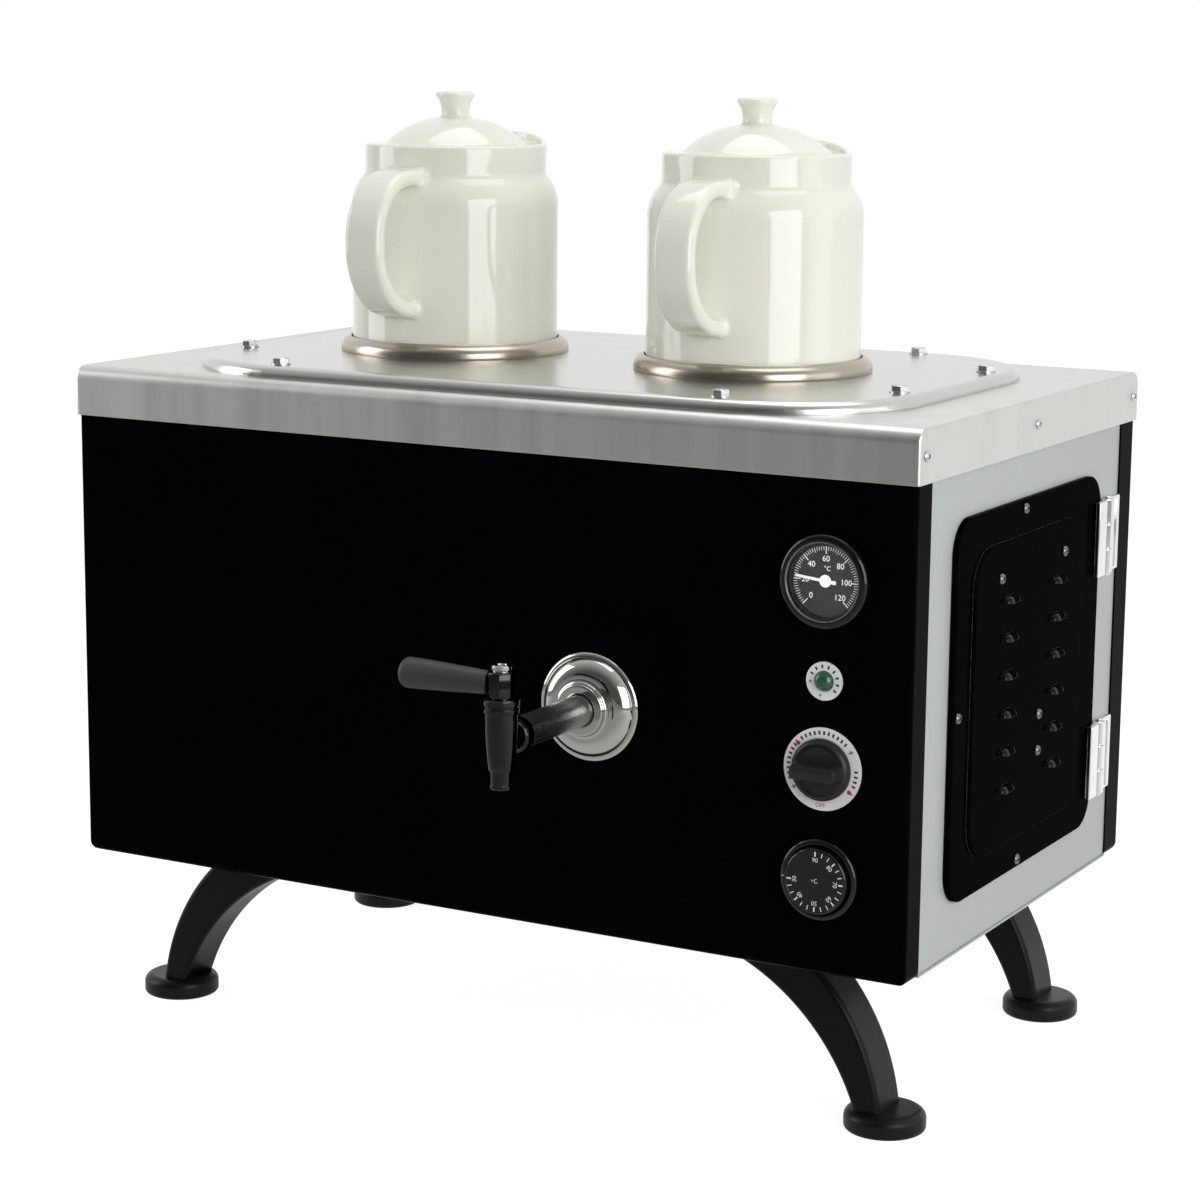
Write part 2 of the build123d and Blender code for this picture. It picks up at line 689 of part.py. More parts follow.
def make_pot(x):
    """Porcelain pot: hollow body, strap handle towards the user and a pouring lip at the back."""
    body = turned(
        [
            (0, 0),
            (POT_R, 0),
            (POT_R, POT_SHOULDER_Z),
            (POT_NECK_R, POT_NECK_Z),
            (POT_NECK_R, POT_RIM_Z),
            (0, POT_RIM_Z),
        ],
        (
            ((POT_R, 0), POT_FOOT_ROUND),
            ((POT_R, POT_SHOULDER_Z), POT_NECK_Z - POT_SHOULDER_Z),
            ((POT_NECK_R, POT_NECK_Z), POT_FOOT_ROUND),
            ((POT_NECK_R, POT_RIM_Z), POT_WALL / 3),
        ),
    )
    bore = POT_R - POT_WALL
    neck = POT_NECK_R - POT_WALL
    throat = neck - LID_LEDGE_W
    ledge = POT_RIM_Z - LID_LEDGE_DROP
    hollow = turned(
        [
            (0, POT_WALL),
            (bore, POT_WALL),
            (bore, POT_SHOULDER_Z),
            (neck, POT_NECK_Z),
            (neck, POT_RIM_Z + SPOUT_RISE + CUT),
            (0, POT_RIM_Z + SPOUT_RISE + CUT),
        ],
        (
            ((bore, POT_WALL), POT_FOOT_ROUND),
            ((bore, POT_SHOULDER_Z), POT_NECK_Z - POT_SHOULDER_Z),
        ),
    )
    ledge_ring = turned(
        [
            (throat, ledge),
            (throat, ledge - POT_WALL),
            (neck + POT_WALL / 2, ledge - POT_WALL - LID_LEDGE_W),
            (neck + POT_WALL / 2, ledge),
        ],
    )
    pot = body + spout_cone(0) + make_handle()
    pot = pot - hollow + ledge_ring
    pot -= spout_cone(SPOUT_WALL)
    return Pos(x, DECK_Y, POT_BASE) * pot


def make_lid(x):
    """Domed lid with a spigot that drops into the neck and a waisted knob."""
    rim = POT_NECK_R - POT_WALL - SLIP
    throat = POT_NECK_R - POT_WALL - LID_LEDGE_W
    spigot = throat - COLLAR_PLAY
    seat = POT_RIM_Z - LID_LEDGE_DROP + SLIP
    top = POT_RIM_Z
    dome_top = top + LID_DOME_H
    knob_top = dome_top + KNOB_H
    waist = dome_top + KNOB_H / 3
    under = dome_top - LID_DOME_WALL
    profile = Curve() + [
        Line((0, under), (KNOB_NECK_R, under)),
        ThreePointArc(
            (KNOB_NECK_R, under),
            (LID_DOME_R / 2 + KNOB_NECK_R / 2, under - LID_DOME_H / 4),
            (spigot - LID_SPIGOT_WALL, seat - LID_SPIGOT_H / 2),
        ),
        Polyline(
            (spigot - LID_SPIGOT_WALL, seat - LID_SPIGOT_H / 2),
            (spigot - LID_SPIGOT_WALL, seat - LID_SPIGOT_H),
            (spigot, seat - LID_SPIGOT_H),
            (spigot, seat),
            (rim, seat),
            (rim, top),
            (LID_DOME_R, top),
        ),
        ThreePointArc(
            (LID_DOME_R, top),
            ((LID_DOME_R + KNOB_NECK_R) / 2, top + LID_DOME_MID_H),
            (KNOB_NECK_R, dome_top),
        ),
        Line((KNOB_NECK_R, dome_top), (KNOB_NECK_R, waist)),
        ThreePointArc(
            (KNOB_NECK_R, waist),
            (KNOB_NECK_R + (KNOB_TOP_R - KNOB_NECK_R) / 3, waist + (knob_top - waist) / 2),
            (KNOB_TOP_R, knob_top - COLLAR_ROUND),
        ),
        Polyline((KNOB_TOP_R, knob_top - COLLAR_ROUND), (KNOB_TOP_R - COLLAR_ROUND, knob_top), (0, knob_top)),
        Line((0, knob_top), (0, under)),
    ]
    return Pos(x, DECK_Y, POT_BASE) * revolve(Plane.XZ * make_face(profile.edges()), Axis.Z)


# Water tank, heaters and supply

def make_water_tank():
    """Open-topped tank that hangs from the cover by its flange."""
    flange = extrude(Pos(0, 0, TANK_TOP - TANK_WALL) * mouth_outline(TANK_WALL + TANK_FLANGE), TANK_WALL)
    outer = extrude(Pos(0, 0, TANK_BOTTOM) * mouth_outline(TANK_WALL), TANK_TOP - TANK_BOTTOM)
    outer = fillet(outer.faces().sort_by(Axis.Z)[0].edges(), TANK_CORNER)
    inner = extrude(Pos(0, 0, TANK_BOTTOM + TANK_WALL) * mouth_outline(0), TANK_TOP - TANK_BOTTOM)
    inner = fillet(inner.faces().sort_by(Axis.Z)[0].edges(), TANK_CORNER - TANK_WALL)
    tank = outer + flange - inner
    tank -= rod(PIPE_R + HOLE_PLAY, (TAP_X, TANK_FRONT - CUT, TAP_Z), (TAP_X, TANK_FRONT + CUT, TAP_Z))
    side = [(y, ELEMENT_Z, ELEMENT_R) for y in ELEMENT_Y]
    side += [(THERMO_PROBE_Y, THERMO_Z, PROBE_BULB_R), (STAT_PROBE_Y, STAT_PROBE_Z, PROBE_BULB_R)]
    for y, z, radius in side:
        tank -= rod(radius + HOLE_PLAY, (TANK_RIGHT - CUT, y, z), (TANK_RIGHT + CUT, y, z))
    return tank


def make_heating_element():
    """Hairpin immersion element through the tank's right wall."""
    near, far = ELEMENT_Y
    out = TANK_RIGHT + ELEMENT_FLANGE_T + ELEMENT_TAIL
    turn = ELEMENT_TURN
    path = FilletPolyline(
        (out, near, ELEMENT_Z),
        (turn, near, ELEMENT_Z),
        (turn, far, ELEMENT_Z),
        (out, far, ELEMENT_Z),
        radius=(far - near) / 2 - SLIP,
    )
    return sweep(Plane(origin=path @ 0, z_dir=path % 0) * Circle(ELEMENT_R), path)


def make_element_flange():
    """Round plate that carries the element on the tank's wall."""
    middle = sum(ELEMENT_Y) / 2
    start = (TANK_RIGHT, middle, ELEMENT_Z)
    plate = rod(ELEMENT_FLANGE_R, start, (TANK_RIGHT + ELEMENT_FLANGE_T, middle, ELEMENT_Z))
    for y in ELEMENT_Y:
        reach = TANK_RIGHT + ELEMENT_FLANGE_T + CUT
        plate -= rod(ELEMENT_R + SEAT, (TANK_RIGHT - CUT, y, ELEMENT_Z), (reach, y, ELEMENT_Z))
    return plate


def make_gas_burner():
    """Bar burner under the tank: a closed tube with a row of ports along its top."""
    low, high = BURNER_X
    tube = rod(BURNER_R, (low, DECK_Y, BURNER_Z), (high, DECK_Y, BURNER_Z))
    inner_low = (low + BURNER_WALL, DECK_Y, BURNER_Z)
    inner_high = (high - BURNER_WALL, DECK_Y, BURNER_Z)
    tube -= rod(BURNER_R - BURNER_WALL, inner_low, inner_high)
    tube -= rod(GAS_PIPE_BORE, (high - CUT, DECK_Y, BURNER_Z), (high + CUT, DECK_Y, BURNER_Z))
    pitch = (high - low) / (BURNER_PORTS + 1)
    for step in range(BURNER_PORTS):
        x = low + pitch * (step + 1)
        tube -= rod(BURNER_PORT_R, (x, DECK_Y, BURNER_Z), (x, DECK_Y, BURNER_Z + BURNER_R + CUT))
    return tube


def make_burner_stands():
    """Two upright plates on the base that carry the burner."""
    stands = []
    for x in BURNER_STAND_X:
        plate = block(
            (x - BURNER_STAND_T / 2, x + BURNER_STAND_T / 2),
            (DECK_Y - BURNER_STAND_W / 2, DECK_Y + BURNER_STAND_W / 2),
            (BASE_TOP, BURNER_Z),
        )
        cradle = rod(BURNER_R + SEAT, (x - CUT, DECK_Y, BURNER_Z), (x + CUT, DECK_Y, BURNER_Z))
        stands.append(plate - cradle)
    return group(stands)


def gas_tube(path):
    """A hollow gas pipe along a path."""
    start = Plane(origin=path @ 0, z_dir=path % 0)
    return sweep(start * (Circle(GAS_PIPE_R) - Circle(GAS_PIPE_BORE)), path)


def make_gas_pipe():
    """Gas pipe in two lengths: burner to valve, and valve to the inlet at the rear."""
    valve_front = GAS_VALVE_Y - GAS_VALVE_L / 2
    valve_rear = GAS_VALVE_Y + GAS_VALVE_L / 2
    bend = FilletPolyline(
        (BURNER_X[1], DECK_Y, BURNER_Z),
        (GAS_PIPE_X, DECK_Y, BURNER_Z),
        (GAS_PIPE_X, valve_front, BURNER_Z),
        radius=GAS_PIPE_BEND,
    )
    run = Line((GAS_PIPE_X, valve_rear, BURNER_Z), (GAS_PIPE_X, REAR_IN - GAS_INLET_HEX_H, BURNER_Z))
    return group([gas_tube(bend), gas_tube(run)])


def make_gas_valve():
    """Gas valve between the two lengths of pipe, standing on the base."""
    half = GAS_VALVE_W / 2
    span = (GAS_VALVE_Y - GAS_VALVE_L / 2, GAS_VALVE_Y + GAS_VALVE_L / 2)
    valve = block((GAS_PIPE_X - half, GAS_PIPE_X + half), span, (BASE_TOP, BURNER_Z + half))
    coil_top = BURNER_Z + half + GAS_VALVE_W
    valve += rod(half - SHEET, (GAS_PIPE_X, GAS_VALVE_Y, BURNER_Z), (GAS_PIPE_X, GAS_VALVE_Y, coil_top))
    bore_start = (GAS_PIPE_X, span[0] - CUT, BURNER_Z)
    bore_end = (GAS_PIPE_X, span[1] + CUT, BURNER_Z)
    return valve - rod(GAS_PIPE_BORE, bore_start, bore_end)


def make_gas_inlet():
    """Hose nipple through the rear panel, with a hexagon on each side of the sheet."""
    start = REAR_IN - GAS_INLET_HEX_H
    tip = REAR + GAS_INLET_HEX_H + GAS_INLET_L
    out = Plane(origin=(GAS_PIPE_X, REAR, BURNER_Z), z_dir=(0, 1, 0))
    back = Plane(origin=(GAS_PIPE_X, REAR_IN, BURNER_Z), z_dir=(0, -1, 0))
    inlet = rod(GAS_INLET_R, (GAS_PIPE_X, start, BURNER_Z), (GAS_PIPE_X, tip, BURNER_Z))
    inlet += hexagon(GAS_INLET_HEX_R, GAS_INLET_HEX_H, out)
    inlet += hexagon(GAS_INLET_HEX_R, GAS_INLET_HEX_H, back)
    return inlet - rod(GAS_PIPE_BORE, (GAS_PIPE_X, start - CUT, BURNER_Z), (GAS_PIPE_X, tip + CUT, BURNER_Z))


def make_cable_gland():
    """Gland for the supply lead through the rear panel."""
    start = REAR_IN - GLAND_HEX_H
    tip = REAR + GLAND_HEX_H + GLAND_NOSE_L
    out = Plane(origin=(GLAND_X, REAR, GLAND_Z), z_dir=(0, 1, 0))
    back = Plane(origin=(GLAND_X, REAR_IN, GLAND_Z), z_dir=(0, -1, 0))
    gland = rod(GLAND_R, (GLAND_X, start, GLAND_Z), (GLAND_X, tip, GLAND_Z))
    gland = fillet(gland.edges().sort_by(Axis.Y)[-1], GLAND_BORE / 2)
    gland += hexagon(GLAND_HEX_R, GLAND_HEX_H, out) + hexagon(GLAND_HEX_R, GLAND_HEX_H, back)
    return gland - rod(GLAND_BORE, (GLAND_X, start - CUT, GLAND_Z), (GLAND_X, tip + CUT, GLAND_Z))


def make_terminal_block():
    """Terminal strip on the base, with a sunk screw well for each way."""
    half_w = TERMINAL_W / 2
    half_l = TERMINAL_L / 2
    top = BASE_TOP + TERMINAL_H
    strip = block(
        (TERMINAL_X - half_w, TERMINAL_X + half_w),
        (TERMINAL_Y - half_l, TERMINAL_Y + half_l),
        (BASE_TOP, top),
    )
    pitch = TERMINAL_L / TERMINAL_WAYS
    for way in range(TERMINAL_WAYS):
        y = TERMINAL_Y - half_l + pitch * (way + 0.5)
        for side in (-1, 1):
            x = TERMINAL_X + side * half_w / 2
            strip -= rod(TERMINAL_SCREW_R, (x, y, top - TERMINAL_H / 2), (x, y, top + CUT))
    return strip


# Tap

def make_tap_rose():
    """Domed cover plate round the tap's pipe, with a raised hub."""
    bore = PIPE_R + HOLE_PLAY
    outline = [
        (bore, 0),
        (ROSE_R, 0),
        (ROSE_R, ROSE_RIM_H),
        (ROSE_SHOULDER_R, ROSE_SHOULDER_H),
        (ROSE_HUB_R + SHEET, ROSE_H),
        (ROSE_HUB_R, ROSE_HUB_H),
        (bore, ROSE_HUB_H),
    ]
    rounds = (
        ((ROSE_R, ROSE_RIM_H), ROSE_RIM_ROUND),
        ((ROSE_SHOULDER_R, ROSE_SHOULDER_H), ROSE_H),
        ((ROSE_HUB_R, ROSE_HUB_H), ROSE_RIM_ROUND),
    )
    return on_front(TAP_X, TAP_Z, turned(outline, rounds))


def make_tap_pipe():
    """Pipe from the tank to the tap's barrel, with a shoulder against the tank."""
    tail = TANK_FRONT + TANK_WALL + PIPE_TAIL
    pipe = rod(PIPE_R, (TAP_X, BARREL_BOSS_Y, TAP_Z), (TAP_X, tail, TAP_Z))
    pipe += rod(PIPE_SHOULDER_R, (TAP_X, TANK_FRONT - PIPE_SHOULDER_T, TAP_Z), (TAP_X, TANK_FRONT, TAP_Z))
    return pipe - rod(PIPE_BORE, (TAP_X, BARREL_BOSS_Y - CUT, TAP_Z), (TAP_X, tail + CUT, TAP_Z))


def make_tap_back_nut():
    """Hex nut that clamps the pipe from inside the tank."""
    wall = TANK_FRONT + TANK_WALL
    nut = hexagon(BACK_NUT_R, BACK_NUT_H, Plane(origin=(TAP_X, wall, TAP_Z), z_dir=(0, 1, 0)))
    return nut - rod(PIPE_R + SEAT, (TAP_X, wall - CUT, TAP_Z), (TAP_X, wall + BACK_NUT_H + CUT, TAP_Z))


def make_tap_barrel():
    """Tapered barrel with a ring at its top, a boss for the pipe and a bore for the core."""
    ring_low = BARREL_TOP - BARREL_RING_H
    outline = [
        (0, BARREL_LOW),
        (BARREL_LOW_R, BARREL_LOW),
        (BARREL_TOP_R - SHEET, ring_low),
        (BARREL_TOP_R, ring_low),
        (BARREL_TOP_R, BARREL_TOP),
        (0, BARREL_TOP),
    ]
    barrel = Pos(TAP_X, TAP_Y, 0) * turned(outline, (((BARREL_LOW_R, BARREL_LOW), SHEET),))
    barrel += rod(BOSS_R, (TAP_X, TAP_Y, TAP_Z), (TAP_X, BARREL_BOSS_Y, TAP_Z))
    barrel -= rod(NOZZLE_BORE, (TAP_X, TAP_Y, BARREL_LOW - CUT), (TAP_X, TAP_Y, BARREL_TOP + CUT))
    barrel -= rod(CORE_R + RUNNING, (TAP_X, TAP_Y, HEAD_Z - CORE_L), (TAP_X, TAP_Y, BARREL_TOP + CUT))
    return barrel - rod(CORE_PORT_R, (TAP_X, TAP_Y, TAP_Z), (TAP_X, BARREL_BOSS_Y + CUT, TAP_Z))


def make_tap_nozzle():
    """Straight outlet below the barrel."""
    mouth = BARREL_LOW - NOZZLE_H
    nozzle = rod(NOZZLE_R, (TAP_X, TAP_Y, mouth), (TAP_X, TAP_Y, BARREL_LOW))
    nozzle = fillet(nozzle.edges().sort_by(Axis.Z)[0], SHEET)
    return nozzle - rod(NOZZLE_BORE, (TAP_X, TAP_Y, mouth - CUT), (TAP_X, TAP_Y, BARREL_LOW + CUT))


def make_tap_head():
    """Eight-sided head and the ported core that turns in the barrel."""
    plan = RegularPolygon(HEAD_ACROSS / 2, HEAD_SIDES, major_radius=False, rotation=180 / HEAD_SIDES)
    head = extrude(Pos(TAP_X, TAP_Y, HEAD_Z) * plan, HEAD_H)
    head = chamfer(head.faces().sort_by(Axis.Z)[-1].edges(), SHEET)
    low = HEAD_Z - CORE_L + SLIP
    head += rod(CORE_R, (TAP_X, TAP_Y, low), (TAP_X, TAP_Y, HEAD_Z))
    head -= rod(CORE_PORT_R, (TAP_X, TAP_Y, low - CUT), (TAP_X, TAP_Y, TAP_Z))
    return head - rod(CORE_PORT_R, (TAP_X, TAP_Y, TAP_Z), (TAP_X + CORE_R + CUT, TAP_Y, TAP_Z))


def make_tap_cap():
    """Cap screw on top of the tap's head."""
    outline = [(0, 0), (TAP_CAP_R, 0), (TAP_CAP_R, TAP_CAP_H), (0, TAP_CAP_H)]
    return Pos(TAP_X, TAP_Y, HEAD_Z + HEAD_H) * turned(outline, (((TAP_CAP_R, TAP_CAP_H), SHEET),))


def make_tap_grip():
    """Tapered lever grip that points to the left when the tap is shut."""
    outline = [(0, 0), (GRIP_NEAR_R, 0), (GRIP_FAR_R, GRIP_L), (0, GRIP_L)]
    grip = turned(outline, (((GRIP_FAR_R, GRIP_L), GRIP_ROUND),))
    start = (TAP_X - HEAD_ACROSS / 2, TAP_Y, HEAD_Z + HEAD_H / 2)
    return Plane(origin=start, z_dir=(-1, 0, 0)).location * grip


# Controls

def make_thermometer_case():
    """Round instrument case: a proud bezel and a can behind the panel, with a needle bush inside."""
    dial_ledge = SHEET
    back = -THERMO_CAN_L
    floor = back + THERMO_WALL
    bush_top = dial_ledge - NEEDLE_BUSH_R
    outline = [
        (0, back),
        (THERMO_CAN_R, back),
        (THERMO_CAN_R, 0),
        (THERMO_R, 0),
        (THERMO_R, THERMO_H),
        (THERMO_FACE_R - THERMO_LIP, THERMO_H),
        (THERMO_FACE_R - THERMO_LIP, THERMO_H - THERMO_LIP),
        (THERMO_FACE_R, THERMO_H - THERMO_LIP),
        (THERMO_FACE_R, dial_ledge),
        (THERMO_FACE_R - THERMO_WALL, dial_ledge),
        (THERMO_FACE_R - THERMO_WALL, floor),
        (NEEDLE_BUSH_R, floor),
        (NEEDLE_BUSH_R, bush_top),
        (0, bush_top),
    ]
    case = turned(outline, (((THERMO_R, THERMO_H), THERMO_LIP),))
    case -= rod(NEEDLE_SHAFT_R + RUNNING, (0, 0, bush_top - NEEDLE_SHAFT_L), (0, 0, bush_top + CUT))
    return on_front(CONTROL_X, THERMO_Z, case)


def make_thermometer_dial():
    """Thin dial on the case's inner ledge."""
    dial = rod(THERMO_FACE_R - SLIP, (0, 0, SHEET), (0, 0, SHEET + DIAL_T))
    dial -= rod(NEEDLE_SHAFT_R + RUNNING, (0, 0, 0), (0, 0, SHEET + DIAL_T + CUT))
    return on_front(CONTROL_X, THERMO_Z, dial)


def make_thermometer_glass():
    """Round window behind the bezel's lip."""
    high = THERMO_H - THERMO_LIP
    return on_front(CONTROL_X, THERMO_Z, rod(THERMO_FACE_R - SLIP, (0, 0, high - GLASS_T), (0, 0, high)))


def make_thermometer_needle():
    """Pointer with its hub, tail and shaft, turned to a cool reading."""
    low = SHEET + DIAL_T + SLIP
    blade = make_face(Polyline(
        (-NEEDLE_TAIL, -NEEDLE_ROOT_W),
        (-NEEDLE_TAIL, NEEDLE_ROOT_W),
        (NEEDLE_L, NEEDLE_TIP_W / 2),
        (NEEDLE_L, -NEEDLE_TIP_W / 2),
        close=True,
    ))
    needle = extrude(Pos(0, 0, low) * blade, NEEDLE_T)
    needle += rod(NEEDLE_HUB_R, (0, 0, low), (0, 0, low + NEEDLE_T))
    needle += rod(NEEDLE_SHAFT_R, (0, 0, low - NEEDLE_SHAFT_L), (0, 0, low))
    return on_front(CONTROL_X, THERMO_Z, Rot(0, 0, SCALE_LOW - NEEDLE_REST) * needle)


def make_probe(corners, wall_y, wall_z):
    """Capillary tube along corners to the tank's right wall, with its nut and its bulb in the water."""
    end = (TANK_RIGHT + PROBE_NUT_T, wall_y, wall_z)
    path = FilletPolyline(*corners, end, radius=PROBE_BEND)
    tube = sweep(Plane(origin=path @ 0, z_dir=path % 0) * Circle(PROBE_TUBE_R), path)
    nut = hexagon(PROBE_NUT_R, PROBE_NUT_T, Plane(origin=(TANK_RIGHT, wall_y, wall_z), z_dir=(1, 0, 0)))
    bulb = rod(PROBE_BULB_R, (TANK_RIGHT - PROBE_BULB_L, wall_y, wall_z), (TANK_RIGHT, wall_y, wall_z))
    return tube + nut + bulb


def make_thermometer_probe():
    """The thermometer's capillary and bulb."""
    back = FRONT + THERMO_CAN_L
    corners = ((CONTROL_X, back, THERMO_Z), (CONTROL_X, THERMO_PROBE_Y, THERMO_Z))
    return make_probe(corners, THERMO_PROBE_Y, THERMO_Z)


def make_thermostat_probe():
    """The thermostat's capillary and bulb."""
    back = FRONT_IN + STAT_BODY_L
    corners = (
        (CONTROL_X, back, STAT_Z),
        (CONTROL_X, STAT_PROBE_Y, STAT_Z),
        (CONTROL_X, STAT_PROBE_Y, STAT_PROBE_Z),
    )
    return make_probe(corners, STAT_PROBE_Y, STAT_PROBE_Z)


def make_pilot_ring():
    """Label ring round the pilot lamp."""
    ring = rod(PILOT_RING_R, (0, 0, 0), (0, 0, PILOT_RING_H))
    ring -= rod(PILOT_LENS_R + SLIP, (0, 0, -CUT), (0, 0, PILOT_RING_H + CUT))
    return on_front(CONTROL_X, PILOT_Z, ring)


def make_pilot_lamp():
    """Pilot lamp: a domed lens and a round body through the panel."""
    outline = [
        (0, -PILOT_BODY_L),
        (PILOT_BODY_R, -PILOT_BODY_L),
        (PILOT_BODY_R, 0),
        (PILOT_LENS_R, 0),
        (PILOT_LENS_R, PILOT_LENS_H),
        (0, PILOT_LENS_H),
    ]
    rounds = (((PILOT_LENS_R, PILOT_LENS_H), PILOT_LENS_H - PILOT_RING_H),)
    return on_front(CONTROL_X, PILOT_Z, turned(outline, rounds))


def make_selector_plate():
    """Flat label plate behind the selector knob."""
    plate = rod(SELECTOR_PLATE_R, (0, 0, 0), (0, 0, SELECTOR_PLATE_T))
    plate -= rod(BUSH_R + HOLE_PLAY, (0, 0, -CUT), (0, 0, SELECTOR_PLATE_T + CUT))
    return on_front(CONTROL_X, SELECTOR_Z, plate)


def make_selector_knob():
    """Knob with a bar grip, and the spindle that turns in the switch."""
    low = SELECTOR_PLATE_T + SLIP
    skirt_top = low + SELECTOR_SKIRT_H
    skirt = [(0, low), (SELECTOR_R, low), (SELECTOR_R - SELECTOR_ROUND, skirt_top), (0, skirt_top)]
    knob = turned(skirt, (((SELECTOR_R - SELECTOR_ROUND, skirt_top), SELECTOR_ROUND),))
    half = SELECTOR_BAR_W / 2
    reach = SELECTOR_R - SELECTOR_ROUND
    bar = block((-reach, reach), (-half, half), (low, SELECTOR_H))
    bar = bar & rod(reach, (0, 0, low), (0, 0, SELECTOR_H))
    bar = fillet(bar.faces().sort_by(Axis.Z)[-1].edges(), SELECTOR_ROUND)
    knob += bar
    knob += rod(SPINDLE_R, (0, 0, -SPINDLE_L), (0, 0, low))
    return on_front(CONTROL_X, SELECTOR_Z, knob)


def make_control_body(z, width, length):
    """Box behind the panel with a bush through the sheet and a bore for the spindle."""
    half = width / 2
    body = block((-half, half), (-half, half), (-SHEET - length, -SHEET))
    body += rod(BUSH_R, (0, 0, -SHEET), (0, 0, SELECTOR_PLATE_T / 2))
    body -= rod(SPINDLE_R + RUNNING, (0, 0, -SPINDLE_L - SLIP), (0, 0, CUT))
    return on_front(CONTROL_X, z, body)


def make_thermostat_bezel():
    """Gloss ring round the thermostat's dial."""
    outline = [
        (STAT_BEZEL_IN, 0),
        (STAT_BEZEL_R, 0),
        (STAT_BEZEL_R, STAT_BEZEL_H),
        (STAT_BEZEL_IN, STAT_BEZEL_H),
    ]
    rounds = (
        ((STAT_BEZEL_R, STAT_BEZEL_H), STAT_ROUND),
        ((STAT_BEZEL_IN, STAT_BEZEL_H), STAT_ROUND / 2),
    )
    return on_front(CONTROL_X, STAT_Z, turned(outline, rounds))


def make_thermostat_dial():
    """Round dial knob and its spindle."""
    low = SELECTOR_PLATE_T / 2 + SLIP
    outline = [(0, low), (STAT_DIAL_R, low), (STAT_DIAL_R, STAT_DIAL_H), (0, STAT_DIAL_H)]
    dial = turned(outline, (((STAT_DIAL_R, STAT_DIAL_H), STAT_ROUND),))
    return on_front(CONTROL_X, STAT_Z, dial + rod(SPINDLE_R, (0, 0, -SPINDLE_L), (0, 0, low)))


# Door

def louvre_places():
    """Middles of the door's louvres."""
    rows = [LOUVRE_TOP_Z - LOUVRE_PITCH * row for row in range(LOUVRE_ROWS)]
    return [(y, z) for y in LOUVRE_Y for z in rows]


def capsule(radius, y, z):
    """A round-ended bar along Y on the face of the door."""
    half = LOUVRE_L / 2 - LOUVRE_R
    bar = rod(radius, (EMBOSS_FACE, y - half, z), (EMBOSS_FACE, y + half, z))
    for end in (y - half, y + half):
        bar += Pos(EMBOSS_FACE, end, z) * Sphere(radius)
    return bar


def emboss_form(inset, low, high):
    """The raised middle of the door, as a rounded slab."""
    plane = Plane(origin=(low, EMBOSS_Y, DOOR_Z), x_dir=(0, 1, 0), z_dir=(1, 0, 0))
    outline = RectangleRounded(EMBOSS_W - 2 * inset, EMBOSS_H - 2 * inset, EMBOSS_CORNER - inset)
    return extrude(plane * outline, high - low)


def make_door_panel():
    """Pressed door: a shallow pan with a raised middle and hooded louvres."""
    pan = extrude(Pos(DOOR_BACK, 0, 0) * door_outline(0, DOOR_CORNER), DOOR_DEPTH)
    pan = fillet(pan.faces().sort_by(Axis.X)[-1].edges(), EMBOSS_ROUND)
    raised = emboss_form(0, DOOR_FACE - DOOR_SKIN, EMBOSS_FACE)
    raised = fillet(raised.faces().sort_by(Axis.X)[-1].edges(), EMBOSS_ROUND)
    pan += raised
    hollow = Pos(DOOR_BACK - CUT, 0, 0) * door_outline(DOOR_SKIN, DOOR_CORNER - DOOR_SKIN)
    pan -= extrude(hollow, DOOR_DEPTH + CUT - DOOR_SKIN)
    pan -= emboss_form(DOOR_SKIN, DOOR_BACK - CUT, EMBOSS_FACE - DOOR_SKIN)
    for y, z in louvre_places():
        upper = block(
            (EMBOSS_FACE - DOOR_SKIN, EMBOSS_FACE + LOUVRE_R + CUT),
            (y - LOUVRE_L, y + LOUVRE_L),
            (z, z + LOUVRE_R + CUT),
        )
        pan += capsule(LOUVRE_R, y, z) & upper
        gap = block(
            (EMBOSS_FACE - DOOR_SKIN - CUT, EMBOSS_FACE + LOUVRE_R),
            (y - LOUVRE_L, y + LOUVRE_L),
            (z - SLIP, z + LOUVRE_R),
        )
        pan -= capsule(LOUVRE_R - LOUVRE_WALL, y, z) & gap
    for y, z in PANEL_SCREWS + FLANGE_SCREWS:
        pan -= rod(DOOR_SCREW_R + SEAT, (DOOR_BACK - CUT, y, z), (EMBOSS_FACE + CUT, y, z))
    return pan


def make_door_screws():
    """Pan-head screws on the door, captive in its skin."""
    screws = []
    for places, face in ((PANEL_SCREWS, EMBOSS_FACE), (FLANGE_SCREWS, DOOR_FACE)):
        for y, z in places:
            head = rod(DOOR_SCREW_HEAD_R, (face, y, z), (face + DOOR_SCREW_HEAD_H, y, z))
            head = fillet(head.edges().sort_by(Axis.X)[-1], DOOR_SCREW_HEAD_H / 2)
            screws.append(head + rod(DOOR_SCREW_R, (DOOR_BACK + SLIP, y, z), (face, y, z)))
    return group(screws)


def knuckle_spans(z):
    """Heights of a hinge's three knuckles, lowest first."""
    third = HINGE_H / 3
    low = z - HINGE_H / 2
    return [(low + third * step + SLIP / 2, low + third * (step + 1) - SLIP / 2) for step in range(3)]


def knuckle(span):
    """One hinge knuckle."""
    return rod(KNUCKLE_R, (HINGE_X, HINGE_Y, span[0]), (HINGE_X, HINGE_Y, span[1]))


def hinge_bore(z, radius):
    """The pin's hole through a whole hinge."""
    half = HINGE_H / 2 + CUT
    return rod(radius, (HINGE_X, HINGE_Y, z - half), (HINGE_X, HINGE_Y, z + half))


